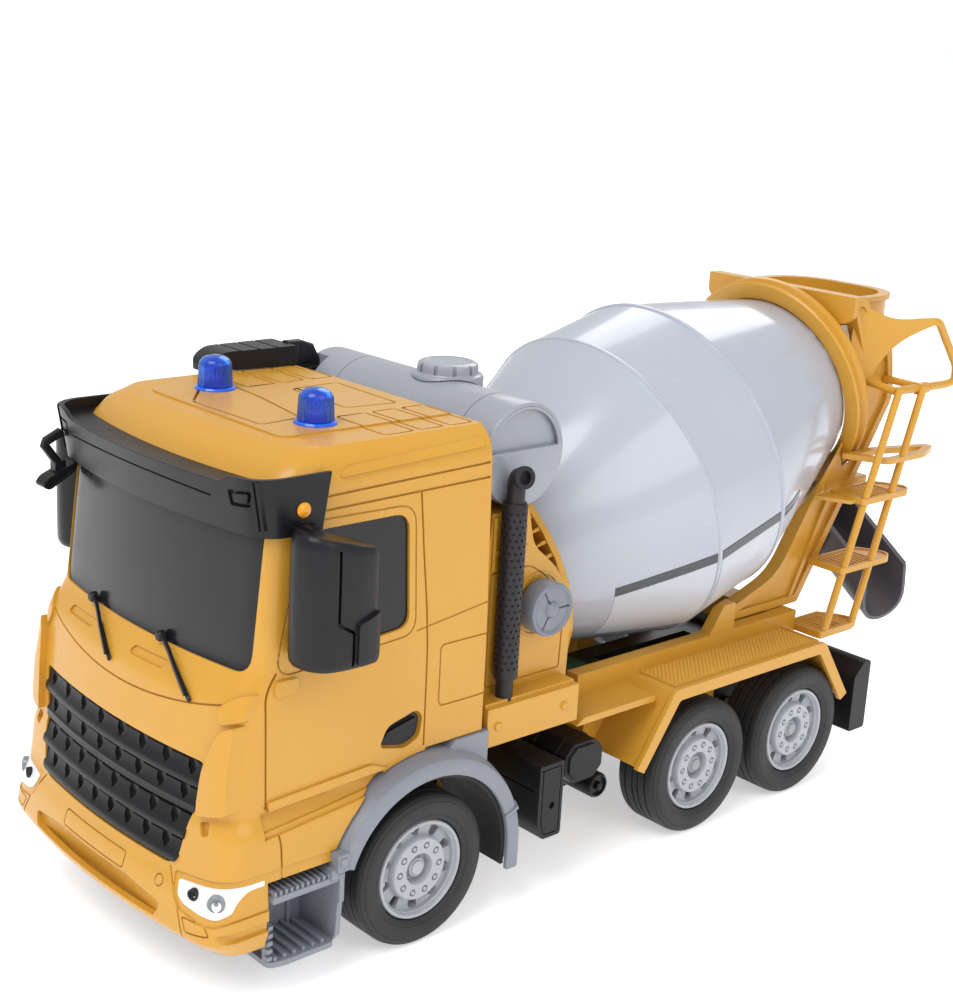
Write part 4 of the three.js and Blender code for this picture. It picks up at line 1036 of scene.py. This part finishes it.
def drum_profile():
    """Axis distance against radius, with a thin raised lip on each welded seam."""
    outer = [(0.0, 69.0), (29.8, 69.0), (30.5, 69.6)]
    for start, end, count in ((74, 123.5, 12), (125.1, 155.7, 5), (157.3, 216.6, 14)):
        outer += [(drum_radius(start + (end - start) * k / count), start + (end - start) * k / count)
                  for k in range(count + 1)]
        if end < 200:
            edge = drum_radius(end)
            outer += [(edge + 0.45, end + 0.25), (edge + 0.55, end + 0.8), (edge + 0.45, end + 1.35)]
    inner = [(drum_radius(s) - 1.9, s) for s in (216, 200, 180, 158, 140, 124, 108, 90, 74)]
    return outer + [(32.4, 217.4), (31.6, 217.6), (31.0, 217.4)] + inner + [(27.0, 71.2), (0.0, 71.2)]


def drum():
    shell = lathe(drum_profile(), 128, closed=False)
    blades = []
    for start in (0, 180):
        line = []
        for k in range(49):
            s = 92 + 118 * k / 48
            angle = math.radians(start + 9.0 * k)
            reach = drum_radius(s) - 4.6
            line.append((reach * math.cos(angle), reach * math.sin(angle), s, angle))
        rings = []
        for x, y, s, angle in line:
            out = (math.cos(angle), math.sin(angle))
            rings.append([(x - 4 * out[0], y - 4 * out[1], s - 0.5),
                          (x + 3.4 * out[0], y + 3.4 * out[1], s - 0.8),
                          (x + 3.4 * out[0], y + 3.4 * out[1], s + 0.8),
                          (x - 4 * out[0], y - 4 * out[1], s + 0.5)])
        blades.append(loft(rings))
    piece("drum_body", copy(join(shell, *blades), TO_DRUM), "drum", DRUM, "drum_shell",
          smooth=24)


def drum_patch(name, span, edges, finish, lift=0.07):
    """A thin printed film on the drum, between two angles that change along the axis."""
    rings = []
    count = 24
    for k in range(count + 1):
        s = span[0] + (span[1] - span[0]) * k / count
        low, high = edges(s)
        ring = []
        for depth in (lift, -0.5):
            row = []
            for j in range(25):
                angle = math.radians(low + (high - low) * j / 24)
                reach = drum_radius(s) + depth
                row.append((reach * math.cos(angle), reach * math.sin(angle), s))
            ring += row if depth > 0 else row[::-1]
        rings.append(ring)
    piece(name, copy(loft(rings), TO_DRUM), "drum", finish)


def drum_prints():
    def stripe_mid(s):
        marks = [(90.0, 16.6), (104.0, 14.4), (124.3, 12.0), (156.5, 12.6), (166.0, 15.0)]
        for (s0, a0), (s1, a1) in zip(marks, marks[1:]):
            if s <= s1:
                return a0 + (a1 - a0) * (s - s0) / (s1 - s0)
        return marks[-1][1]

    def stripe(s):
        half = math.degrees(1.75 / drum_radius(s))
        return stripe_mid(s) - half, stripe_mid(s) + half

    def below(s):
        return stripe_mid(s) + math.degrees(1.9 / drum_radius(s)), 52.0

    for turn, tag in ((0, "left"), (180, "right")):
        for part, span in (("front", (90, 123.2)), ("middle", (125.4, 155.4)), ("rear", (157.6, 172))):
            drum_patch(f"stripe_{part}_{tag}", span, lambda s: tuple(a + turn for a in stripe(s)), STRIPE,
                       0.16)
            drum_patch(f"film_{part}_{tag}", span, lambda s: tuple(a + turn for a in below(s)), FILM, 0.12)


def ring_and_rollers():
    profile = [(33.9, 215.7), (36.2, 215.4), (39.4, 215.9), (39.9, 216.6), (39.6, 217.3), (38.4, 217.9),
               (38.2, 219.6), (38.9, 220.0), (39.7, 220.6), (39.7, 222.0), (39.2, 222.7), (36.0, 223.1),
               (33.9, 222.8), (33.6, 219.2)]
    ring = lathe(profile, 120)
    piece("mouth_ring", copy(ring, TO_DRUM), "truck_body", YELLOW, "support_ring")


def knob():
    disc = lathe([(0.0, 44.7), (7.5, 44.7), (8.2, 45.2), (8.3, 46.0), (8.3, 50.2), (8.1, 51.0), (7.4, 51.4),
                  (6.9, 51.1), (6.6, 50.6), (2.7, 50.6), (2.5, 51.1), (1.9, 51.7), (1.0, 51.95), (0.0, 52.0)],
                 80, closed=False)
    tools = []
    for degrees in (0, 120, 240):
        bar = block(2.3, 6.9, -0.3, 0.3, 50.1, 53)
        tools.append(turned(bar, degrees, "Z"))
    disc = cut(disc, *tools)
    stem = lathe([(0.0, 33.0), (2.5, 33.0), (2.5, 46.0), (0.0, 46.0)], 32, closed=False)
    teeth = []
    for k in range(16):
        middle = DRUM_TILT + math.pi / 16 + 2 * math.pi * k / 16
        outline = [(r * math.cos(middle + a), r * math.sin(middle + a)) for r, a in
                   ((7.6, -0.13), (11.1, -0.062), (11.3, -0.045), (11.3, 0.045), (11.1, 0.062), (7.6, 0.13))]
        teeth.append(prism(outline, "z", 37.5, 41.5))
    gear = join(lathe([(0.0, 37.5), (8.1, 37.5), (8.1, 41.5), (0.0, 41.5)], 48, closed=False), *teeth)
    whole = join(disc, stem)
    place = Matrix(((0, 0, 1, 0), (1, 0, 0, KNOB["y"]), (0, 1, 0, KNOB["z"]), (0, 0, 0, 1)))
    piece("knob_disc", copy(whole, place), "knob", KNOB_GREY, "drum_knob")
    piece("knob_gear", copy(gear, place), "knob", KNOB_GREY)


def tank():
    t = TANK
    barrel = lathe([(0.0, -48.0), (14.7, -48.0), (15.3, -47.7), (15.5, -47.0), (15.5, 43.0), (15.3, 43.7),
                    (14.7, 44.0), (0.0, 44.0)], 96, closed=False)
    barrel = along_x(barrel, 0, t["y"], t["z"])
    tools = []
    for x0, x1 in ((42.3, 60), (-60, -46.3)):
        sunk = along_x(lathe([(0.0, x0), (14.3, x0), (14.3, x1), (0.0, x1)], 80, closed=False), 0, t["y"],
                       t["z"])
        tools.append(common(sunk, block(x0 - 1, x1 + 1, 20, 60, t["z"] + 1.6, 160)))
    tools.append(block(-56, -41, 20, 34.4, 130, 160))
    tools.append(copy(lathe([(0.0, 60.8), (43.5, 60.8), (43.5, 90), (0.0, 90)], 96, closed=False), TO_DRUM))
    line = [block(x, x + 0.35, 20, 60, 120, 160) for x in (-30, 30)]
    shallow_line = [cut(mesh, along_x(lathe([(0.0, -70), (15.2, -70), (15.2, 70), (0.0, 70)], 80,
                                            closed=False),
                                      0, t["y"], t["z"])) for mesh in line]
    barrel = cut(barrel, *tools, *shallow_line)
    rib = common(along_x(lathe([(13.4, 43.2), (14.2, 43.2), (14.2, 44.0), (13.4, 44.0)], 80), 0, t["y"],
                         t["z"]),
                 block(40, 46, 20, 60, t["z"] + 1.6, 160))
    piece("tank_barrel", join(barrel, rib), "truck_body", TANK_GREY, "water_tank")
    cap = lathe([(0.0, 147.6), (10.6, 147.6), (11.0, 148.2), (11.0, 152.2), (10.6, 152.9), (9.6, 153.2),
                 (9.3, 153.6), (9.3, 155.2), (9.0, 156.0), (8.2, 156.5), (7.2, 156.6), (6.9, 156.35),
                 (0.0, 156.3)],
                80, closed=False)
    notches = [turned(block(8.6, 9.9, -0.55, 0.55, 153.5, 157.5), 36 * k + 8, "Z") for k in range(10)]
    tab = block(9.6, 11.2, -1.6, 1.6, 149.2, 151.8)
    cap = moved(cut(cap, *notches), 3, 46)
    cap = join(cap, moved(turned(tab, -60, "Z"), 3, 46))
    seat = along_x(lathe([(0.0, -20), (15.8, -20), (15.8, 26), (0.0, 26)], 80, closed=False), 0, t["y"],
                   t["z"])
    piece("tank_filler", cut(cap, seat), "truck_body", TANK_GREY, "tank_cap", bevel=0.15)


def gear_cover():
    tower = rounded([(28, 64, 0), (64, 64, 0), (64.5, 84, 5), (60, 98, 9), (47, 109, 3), (44, 121, 0.5),
                     (30, 121, 0), (28, 100, 0)], 8)
    inner = rounded([(28.1, 60, 0), (62, 60, 0), (62.4, 84, 4), (58.2, 97, 8), (46, 107.6, 2), (43, 117, 0),
                     (31.5, 117, 0), (31.5, 100, 0)], 6)
    base = block(-52, 52, 25, 62, 53, 64.8)
    shelf = block(-50.5, 50.5, 25, 61, 64.8, 66.0)
    body = join(base, shelf, prism(tower, "x", -44, 44))
    ribs = []
    for side in (1, -1):
        ribs.append(block(*sorted((side * 43.8, side * 44.7)), 30, 44, 108.5, 110.0))
        for k in range(4):
            ribs.append(block(*sorted((side * 43.6, side * 44.8)), 30 + 3.4 * k, 31.2 + 3.4 * k, 104, 120))
        ring = along_x(lathe([(9.2, 43.6), (10.0, 43.6), (10.0, 44.5), (9.2, 44.5)], 64), 0, KNOB["y"],
                       KNOB["z"])
        ribs.append(ring if side > 0 else mirrored(ring))
    body = join(body, *ribs)
    well = copy(lathe([(0.0, 60.8), (43.5, 60.8), (43.5, 90), (0.0, 90)], 128, closed=False), TO_DRUM)
    tank_room = along_x(lathe([(0.0, -60), (15.8, -60), (15.8, 60), (0.0, 60)], 80, closed=False), 0,
                        TANK["y"], TANK["z"])
    shaft_hole = along_x(lathe([(0.0, 30), (2.9, 30), (2.9, 60), (0.0, 60)], 40, closed=False), 0,
                         KNOB["y"], KNOB["z"])
    pinion_room = along_x(lathe([(0.0, 36.4), (12.2, 36.4), (12.2, 42.6), (0.0, 42.6)], 64, closed=False), 0,
                          KNOB["y"], KNOB["z"])
    hollow = common(prism(inner, "x", -42, 42), block(-42, 42, 29, 60, 56, 118))
    grooves = []
    for side in (1, -1):
        line = rim_line([(30.5, 68, 1), (60.5, 68, 1), (61, 84, 4), (57, 95.5, 7), (46, 103, 2),
                         (30.5, 103, 1)])
        grooves.append(cut(prism(stroke(line, 0.5), "x", *sorted((side * 43.5, side * 46))),
                           ))
    body = cut(body, hollow, well, tank_room, shaft_hole, pinion_room, *grooves)
    legs = [block(*sorted((side * 24.3, side * 30)), 31, 43, 28, 54) for side in (1, -1)]
    screws = []
    for side in (1, -1):
        for y in (29, 56):
            cap = along_x(lathe([(0.0, 51.9), (1.3, 51.9), (1.3, 52.5), (1.0, 52.8), (0.0, 52.8)], 24,
                                closed=False),
                          0, y, 59)
            screws.append(cap if side > 0 else mirrored(cap))
    piece("gear_cover", join(body, *legs, *screws), "truck_body", YELLOW, "drive_housing",
          bevel=0.5)


drum()
drum_prints()
ring_and_rollers()
knob()
tank()
gear_cover()


# ---------------------------------------------------------------- deck, hopper, ladder, chute and tail
def drum_room(clear=0.6):
    cone = lathe([(0.0, 138), (56.0 + clear, 154), (55.0 + clear, 160), (34.4 + clear, 219), (0.0, 219)], 96,
                 closed=False)
    return copy(cone, TO_DRUM)


def tread_pad(x0=33.3, x1=52.9, y0=105.5, y1=178.5, low=53.7, high=54.05, peak=0.42, pitch=0.9):
    """A sheet of small four-sided studs."""
    across, along = round((x1 - x0) / pitch), round((y1 - y0) / pitch)
    points, faces = [], []
    for i in range(across + 1):
        for j in range(along + 1):
            inside = 0 < i < across and 0 < j < along
            top = high + (peak if inside and (i + j) % 2 == 0 else 0.0)
            points.append((x0 + (x1 - x0) * i / across, y0 + (y1 - y0) * j / along, top))
    row = along + 1
    for i in range(across):
        for j in range(along):
            a, b, c, d = i * row + j, (i + 1) * row + j, (i + 1) * row + j + 1, i * row + j + 1
            faces += [(a, b, d), (b, c, d)] if (i + j) % 2 else [(a, b, c), (a, c, d)]
    rim = [i * row for i in range(across + 1)] + [across * row + j for j in range(1, along + 1)]
    rim += [i * row + along for i in range(across - 1, -1, -1)] + list(range(along - 1, 0, -1))
    base = len(points)
    points += [(points[k][0], points[k][1], low) for k in rim]
    count = len(rim)
    for k in range(count):
        n = (k + 1) % count
        faces.append((rim[k], base + k, base + n, rim[n]))
    faces.append(tuple(base + k for k in reversed(range(count))))
    return shape(points, faces)


def deck():
    fender = [(103.5, 54, 1.5), (180, 54, 1.5), (195.6, 31.6, 0.4), (193.8, 30.6, 0.4), (179, 51.6, 0.6),
              (104.6, 51.6, 0.6), (90, 29.8, 0.4), (88.3, 30.8, 0.4)]
    guard = prism(rounded(fender, 4), "x", 31, 56)
    skirt = prism(rounded([(103.0, 54.2, 1.5), (180.5, 54.2, 1.5), (196.6, 31.4, 0.3), (193.2, 29.4, 0.3),
                           (178.2, 50.2, 1.0), (105.4, 50.2, 1.0), (90.6, 28.7, 0.3), (87.2, 30.6, 0.3)], 4),
                  "x", 54.4, 56)
    rail = block(33, 38, 76, 186, 50.3, 59.5)
    step = prism(rounded([(66, 52.4, 1), (98, 52.4, 0.5), (98, 50.2, 0.5), (62.6, 50.2, 0.5)], 3), "x", 36,
                 51.5)
    posts = [block(24.3, 34, 84.5, 94, 28, 52), block(24.3, 34, 140, 149, 28, 52)]
    bracket = prism(rounded([(139, 59, 0.5), (146, 69, 1), (152, 69, 1), (152, 59, 0.5)], 3), "x", 33.4, 37.6)
    frame_line = cut(block(32.4, 53.8, 104.6, 179.4, 53.8, 54.5), block(33.2, 53.0, 105.4, 178.6, 53, 56))
    half = join(guard, skirt, rail, step, bracket, *posts, frame_line)
    other = mirrored(half)
    bars = [block(-38, 38, 62.4, 84, 50.3, 52.3), block(-38, 38, 176, 186, 50.3, 59.5)]
    whole = join(half, other, *bars)
    well = copy(lathe([(0.0, 60.8), (43.5, 60.8), (43.5, 90), (0.0, 90)], 96, closed=False), TO_DRUM)
    belly = copy(lathe([(0.0, 100), (50.0, 106), (55.4, 124), (55.4, 157), (52, 166), (0.0, 170)], 96,
                       closed=False), TO_DRUM)
    pad = tread_pad()
    other_pad = mirrored(pad)
    piece("tread_left", pad, "truck_body", TREAD, smooth=10)
    piece("tread_right", other_pad, "truck_body", TREAD, smooth=10)
    piece("deck_frame", cut(whole, well, belly), "truck_body", YELLOW, "rear_deck")


def hopper():
    pillar = rounded([(150, 59.8, 0), (193, 59.8, 1), (238, 131, 4), (234, 150, 4), (215, 168.5, 1),
                      (207, 168.5, 1), (222, 138, 6), (180, 72.5, 8), (150, 62.5, 0)], 6)
    web = rounded([(160, 62.6, 0), (191.4, 62.6, 1), (235.0, 131.4, 4), (231.2, 148.6, 4), (213.6, 166, 1),
                   (210.6, 166, 1), (224.6, 138.2, 6), (182.0, 70.5, 8), (168, 64.6, 0)], 6)
    side = cut(prism(pillar, "x", 27.5, 32.6), prism(web, "x", 31.2, 34))
    stiffener = prism(rounded([(188, 62, 0.5), (190, 62, 0.5), (208, 98, 1), (206, 99, 1)], 3), "x", 30, 32.4)
    gusset = prism(rounded([(-4, 138, 1), (-4, 166, 1), (0, 166, 1), (12, 160.8, 5), (27, 161.9, 1),
                            (29.5, 160.4, 1),
                            (15, 154, 7), (7, 145, 5), (5, 138, 1)], 6), "x", -1.0, 1.0)
    gusset = copy(gusset, Matrix.Translation((31.2, 216, 0)) @ Matrix.Rotation(math.radians(-30), 4, "Z"))
    half = join(side, stiffener, gusset)
    flange = join(prism(rounded([(-33.4, 162.0, 2), (-33.4, 169.4, 2), (33.4, 169.4, 2), (33.4, 162.0, 2),
                                 (29.5, 159.6, 1), (-29.5, 159.6, 1)], 4), "y", 207, 209.4),
                  block(-33.4, 33.4, 207, 212.5, 167.9, 169.4),
                  *[block(x - 0.6, x + 0.6, 207.5, 212.5, 160.5, 168.5) for x in (-24, -12, 0, 12, 24)])
    outer = rounded([(-25, 208, 1), (25, 208, 1), (25.4, 249, 20), (-25.4, 249, 20)], 16)
    inner = rounded([(-22.8, 205, 1), (22.8, 205, 1), (22.8, 246.6, 18.5), (-22.8, 246.6, 18.5)], 16)
    lip = rounded([(-26.2, 208, 1), (26.2, 208, 1), (26.6, 250.2, 21), (-26.6, 250.2, 21)], 16)
    rim = cut(join(prism(outer, "z", 158, 167), prism(lip, "z", 165.6, 167.4)), prism(inner, "z", 150, 170))
    braces = [block(*sorted((s * 24, s * 29)), 209, 216, 161, 167) for s in (1, -1)]
    floor_cone = loft([[(x * k, 226 + (y - 226) * k, z) for x, y in outer] for z, k in
                       ((142, 0.42), (150, 0.62), (158.4, 1.0))])
    floor_hole = loft([[(x * k, 226 + (y - 226) * k, z) for x, y in inner] for z, k in
                       ((141, 0.34), (150, 0.58), (158.5, 1.0))])
    funnel = cut(floor_cone, floor_hole)
    bridge = [block(-31.5, 31.5, 225, 229, 97.5, 102),
              *[block(*sorted((s * 27.5, s * 31.5)), 205, 229, 97.5, 102)
                                                          for s in (1, -1)]]
    pin_hole = moved(lathe([(0.0, 90), (2.3, 90), (2.3, 110), (0.0, 110)], 32, closed=False), 0, 244)
    eye = moved(lathe([(0.0, 98), (5.4, 98), (5.4, 101), (0.0, 101)], 48, closed=False), 0, 244)
    bracket = cut(join(block(-4.6, 4.6, 227, 244, 98, 101), eye,
                       prism([(227, 98.2), (238, 98.2), (227, 90)], "x", -1, 1)), pin_hole)
    frame_body = join(half, mirrored(half), flange, rim, *braces, *bridge, bracket)
    ring = copy(lathe([(0.0, 215), (40.4, 215), (40.4, 223.6), (0.0, 223.6)], 96, closed=False), TO_DRUM)
    piece("hopper_body", cut(join(frame_body, funnel), ring, drum_room(0.0)), "truck_body",
          YELLOW, "hopper_frame", bevel=0.3)


def ladder():
    rails = [tube([(48, 188.8, 52.6), (48, 190.2, 54.5), (48, 218.7, 138.6)], 1.35, steps=20),
             tube([(48, 205.7, 52.6), (48, 206.3, 54.5), (48, 233.5, 138.2)], 1.35, steps=20)]
    treads = []
    for y0, y1, z0, z1 in ((186, 209.5, 52, 54), (195, 226.5, 74.3, 76), (203, 233.5, 98.4, 100.2)):
        plan = rounded([(34.3, y0, 0.5), (49.4, y0, 1.5), (49.4, y1 - 4, 2), (46.5, y1, 2.5),
                        (41.5, y1 - 1, 3),
                        (34.3, y1 - 6, 0.5)], 6)
        board = prism(plan, "z", z0, z1)
        rim = cut(prism(plan, "z", z1 - 0.2, z1 + 0.5),
                  prism(rounded([(35.3, y0 + 1, 0.5), (48.5, y0 + 1, 1.2), (48.5, y1 - 4.4, 1.6),
                                 (46.2, y1 - 1, 2.0), (41.7, y1 - 2, 2.4), (35.3, y1 - 6.8, 0.5)], 6), "z",
                                 z0, z1 + 2))
        grip = [prism(stroke([(36.6, y0 + 2.6 + 2.3 * k), (47.2, y0 + 2.6 + 2.3 * k)], 0.7), "z", z1 - 0.2,
                      z1 + 0.35)
                for k in range(int((y1 - y0 - 9) / 2.3))]
        treads.append(join(board, rim, *grip))
    top_plan = rounded([(34.3, 208, 0.5), (49.2, 216, 2), (49.2, 238, 3), (45, 249, 2), (41.5, 249, 2),
                        (34.3, 226, 1)], 6)
    hole = rounded([(37.6, 213, 1.5), (46.6, 217.6, 2), (46.4, 237, 2), (43.6, 244.4, 1), (37.4, 226, 2)], 6)
    top = cut(prism(top_plan, "z", 111.6, 113.6), prism(hole, "z", 100, 120))
    arms = [prism(rounded([(34.3, 194, 0.5), (34.3, 205, 0.5), (46, 206, 0.5), (46, 200, 0.5)], 3), "z", 98.6,
                  100)]
    pipe = tube([(42.5, 237, 160.2), (45.6, 241.6, 160.6), (46, 256, 143), (46, 256.4, 137.6),
                 (46, 250, 136.8),
                 (46, 219, 137.4)], 1.5, 2.0, 20)
    links = [tube([(31.4, 219, 139), (46.6, 219, 137.4)], 1.4, steps=16),
             tube([(31.4, 233, 138), (48, 233.4, 137.6)], 1.4, steps=16)]
    sleeves = [tube([(46, 232, 137.0), (46, 238, 136.9)], 2.1, steps=20)]
    piece("ladder_body", join(*rails, *treads, top, *arms, pipe, *links, *sleeves), "truck_body",
          YELLOW, "ladder")


def chute():
    radius, wall, start, end = 10.3, 1.4, -10.0, 51.0

    def trough(r, u0, u1, top):
        arc = [(-r * math.cos(math.radians(a)), -r * math.sin(math.radians(a))) for a in range(0, 181, 6)]
        return prism([(-r, top)] + arc + [(r, top)], "x", u0, u1)

    gutter = cut(trough(radius, start, end, 9), trough(radius - wall, start + wall, end + 9, 30))
    mouth = prism(rounded([(start - 2, 40, 0), (end - 9, 40, 0), (end - 9, 9.2, 0), (end - 2, -2, 8),
                           (end + 0.2, -14, 0), (start - 2, -14, 0)], 8), "y", -20, 20)
    gutter = common(gutter, mouth)
    lip = common(cut(trough(radius + 0.7, start, end, 9), trough(radius - 0.4, start - 5, end + 9, 30)),
                 join(block(start + 0.1, start + 1.6, -20, 20, -20, 20), block(18, 19.5, -20, 20, -20, 20)))
    hem = [common(cut(trough(radius + 0.8, start, end, 9), trough(radius - 0.6, start - 5, end + 9, 30)),
                  block(start, end - 10, -20, 20, 7.6, 9))]
    strap = prism(rounded(oblong(-4, 4, -10.2, 10.2, 1), 3), "z", 6.5, 9)
    sloped = copy(join(gutter, lip, *hem, strap), Matrix.Rotation(math.radians(28), 4, "Y"))
    pin = join(lathe([(0.0, 7), (2.0, 7), (2.0, 21.0), (1.7, 21.8), (0.0, 21.8)], 32, closed=False),
               lathe([(0.0, 7), (3.4, 7), (3.4, 10.5), (2.0, 12), (0.0, 12)], 32, closed=False))
    whole = copy(join(sloped, pin), Matrix.Translation((0, 244, 79)) @ Matrix.Rotation(math.radians(-12), 4,
                                                                                       "Z"))
    piece("chute_body", whole, "discharge_chute", CHUTE_GREY, "chute", bevel=0.25)


def side_tank():
    box_shape = prism(rounded([(44, 43.3, 0.8), (54, 43.3, 0.8), (54, 19, 1.2), (46, 19, 1.5), (44, 24, 1.5)],
                              4),
                      "x", 31, 56)
    hole = along_x(lathe([(0.0, 55.0), (1.1, 55.0), (1.1, 60), (0.0, 60)], 24, closed=False), 0, 49.6, 29.5)
    face = prism(stroke(rim_line([(45.4, 41.8, 0.6), (52.8, 41.8, 0.6), (52.8, 20.4, 0.8), (46.8, 20.4, 1),
                                  (45.4, 24.4, 1)]), 0.4), "x", 55.6, 57)
    case = cut(box_shape, hole, face, block(30, 54.8, 42.8, 44.4, 34.5, 35.1))
    eight = [(58.5, 35, 0.6), (62, 31.6, 0.6), (71, 31.6, 0.6), (74.5, 35, 0.6), (74.5, 41, 0.6),
             (71, 44.5, 0.6),
             (62, 44.5, 0.6), (58.5, 41, 0.6)]
    barrel = prism(rounded(eight, 3), "x", 31, 52.0)
    cap = prism(rounded([(66.5 + (y - 66.5) * 0.82, 38 + (z - 38) * 0.82, 0.5) for y, z, _ in eight], 3), "x",
                51.8, 52.7)
    bands = [prism(rounded([(66.5 + (y - 66.5) * 1.05, 38 + (z - 38) * 1.05, 0.6) for y, z, _ in eight], 3),
                   "x",
                   x, x + 1.6) for x in (36, 46)]
    cylinder = along_x(lathe([(0.0, 33), (4.2, 33), (4.2, 46.2), (3.7, 47.0), (3.2, 47.0), (3.0, 46.0),
                              (1.4, 46.0),
                              (1.2, 47.6), (0.0, 47.8)], 48, closed=False), 0, 79.6, 24)
    bar = block(24.3, 32, 46, 72, 29, 40)
    link = block(31, 45, 53, 60, 34, 40)
    hanger = block(31, 36, 70, 80, 26, 36)
    piece("side_tank_body", join(case, barrel, cap, *bands, cylinder, bar, link, hanger), "truck_body",
          BLACK, "side_tank", bevel=0.2)


def tail_bar():
    section = rounded([(201, 15, 0.8), (210, 15, 1.2), (210, 41, 1.2), (206, 41, 1), (201, 36, 1)], 4)
    bar = prism(section, "x", -55.8, 55.8)
    sunk = []
    for side in (1, -1):
        low, high = sorted((side * 29, side * 53.6))
        sunk.append(prism(rounded(oblong(low, high, 24, 38, 1.5), 4), "y",
                          208.6, 214))
    number = prism(rounded(oblong(-18, 18, 22, 36, 1), 4), "y", 209.3, 214)
    bar = cut(bar, *sunk, number)
    lamps, plate = [], prism(rounded(oblong(-16.8, 16.8, 23.2, 34.8, 0.8), 4),
                             "y", 209.0, 209.8)
    for side in (1, -1):
        low, high = sorted((side * 31, side * 51.6))
        lamps.append(prism(rounded(oblong(low, high, 26, 36, 1.2), 4),
                           "y",
                           208.0, 209.4))
    piece("tail_bar", join(bar, plate, *lamps), "truck_body", BLACK, "rear_bumper",
          bevel=0.25)


deck()
hopper()
ladder()
chute()
side_tank()
tail_bar()


# ---------------------------------------------------------------- CAD nodes that stay
NODE_LOOKS = [
    (BLACK, "chassis_frame battery_cover steering_servo front_axle_beam tie_rod"),
    (GREY, "gearbox_housing"),
    (STEEL, "drive_motor mid_axle rear_axle"),
    (NYLON, "power_switch motor_pinion drive_gear steering_knuckle_left steering_knuckle_right"),
    (BOARD, "circuit_board"),
    (CELL, "battery_pack"),
    (YELLOW, "crown_gear"),
]
for finish, names in NODE_LOOKS:
    for name in names.split():
        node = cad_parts[name]
        for material_slot in node.material_slots:
            material_slot.material = finish
        edge = node.modifiers.new("edges", "BEVEL")
        edge.width, edge.segments, edge.limit_method = 0.35 * MM, 2, "ANGLE"
        edge.angle_limit = math.radians(40)
        edge.harden_normals = True


# ---------------------------------------------------------------- floor, light and camera
def floor():
    """A wide pale floor that runs to the horizon."""
    look = Look("floor")
    cloud = look.ramp(look.noise(3, 2), 0.0, 1.0, 0.3, 0.7)
    pale = look.mix(cloud, (0.93, 0.93, 0.93, 1), (0.915, 0.915, 0.92, 1))
    look.set(Base_Color=pale, Roughness=0.75, Specular_IOR_Level=0.1, Emission_Color=pale,
             Emission_Strength=0.50)
    mesh = lathe([(0.0, 0.0), (40.0, 0.0), (40.0, -0.02), (0.0, -0.02)], 96, closed=False)
    mesh.materials.append(look.material)
    mesh.shade_smooth()
    ground = bpy.data.objects.new("floor", mesh)
    bpy.context.scene.collection.objects.link(ground)


def lamp(name, place, aim, power, size):
    light = bpy.data.lights.new(name, "AREA")
    light.energy, light.size, light.shape = power, size, "DISK"
    thing = bpy.data.objects.new(name, light)
    thing.location = place
    thing.rotation_euler = (Vector(aim) - Vector(place)).to_track_quat("-Z", "Y").to_euler()
    bpy.context.scene.collection.objects.link(thing)


def studio():
    world = bpy.data.worlds.new("studio")
    bpy.context.scene.world = world
    world.use_nodes = True
    tree = world.node_tree
    white = tree.nodes.new("ShaderNodeBackground")
    white.inputs[0].default_value, white.inputs[1].default_value = (1.0, 1.0, 1.0, 1.0), 1.05
    choose = tree.nodes.new("ShaderNodeMixShader")
    tree.links.new(tree.nodes.new("ShaderNodeLightPath").outputs["Is Camera Ray"], choose.inputs[0])
    tree.links.new(tree.nodes["Background"].outputs[0], choose.inputs[1])
    tree.links.new(white.outputs[0], choose.inputs[2])
    tree.links.new(choose.outputs[0], tree.nodes["World Output"].inputs[0])
    world.node_tree.nodes["Background"].inputs[0].default_value = (1.0, 1.0, 1.0, 1.0)
    world.node_tree.nodes["Background"].inputs[1].default_value = 0.64
    lamp("key", (0.15, -0.75, 1.05), (0, 0, 0.05), 8.0, 0.8)
    lamp("fill", (1.1, -0.1, 0.8), (0, 0, 0.06), 4.0, 0.9)
    lamp("back", (-0.6, 0.9, 0.9), (0, 0.05, 0.1), 4.0, 0.8)
    bpy.context.scene.view_settings.view_transform = "Standard"


def camera():
    """Looks at the truck's left front corner from a little above it."""
    place = Vector((0.37846, -0.37408, 0.25545))
    azimuth, elevation, roll = (math.radians(a) for a in (47.522, 15.889, 3.117))
    back = Vector((math.sin(azimuth) * math.cos(elevation), -math.cos(azimuth) * math.cos(elevation),
                   math.sin(elevation)))
    right = (-back).cross(Vector((0, 0, 1))).normalized()
    up = back.cross(right)
    tilted = right * math.cos(roll) + up * math.sin(roll)
    upright = up * math.cos(roll) - right * math.sin(roll)
    lens = bpy.data.cameras.new("camera")
    lens.lens, lens.sensor_width, lens.sensor_fit = 60.49, 36.0, "AUTO"
    lens.clip_start, lens.clip_end = 0.01, 50.0
    view = bpy.data.objects.new("camera", lens)
    view.matrix_world = Matrix((
        (tilted.x, upright.x, back.x, place.x),
        (tilted.y, upright.y, back.y, place.y),
        (tilted.z, upright.z, back.z, place.z),
        (0, 0, 0, 1),
    ))
    bpy.context.scene.collection.objects.link(view)
    bpy.context.scene.camera = view


floor()
studio()
camera()
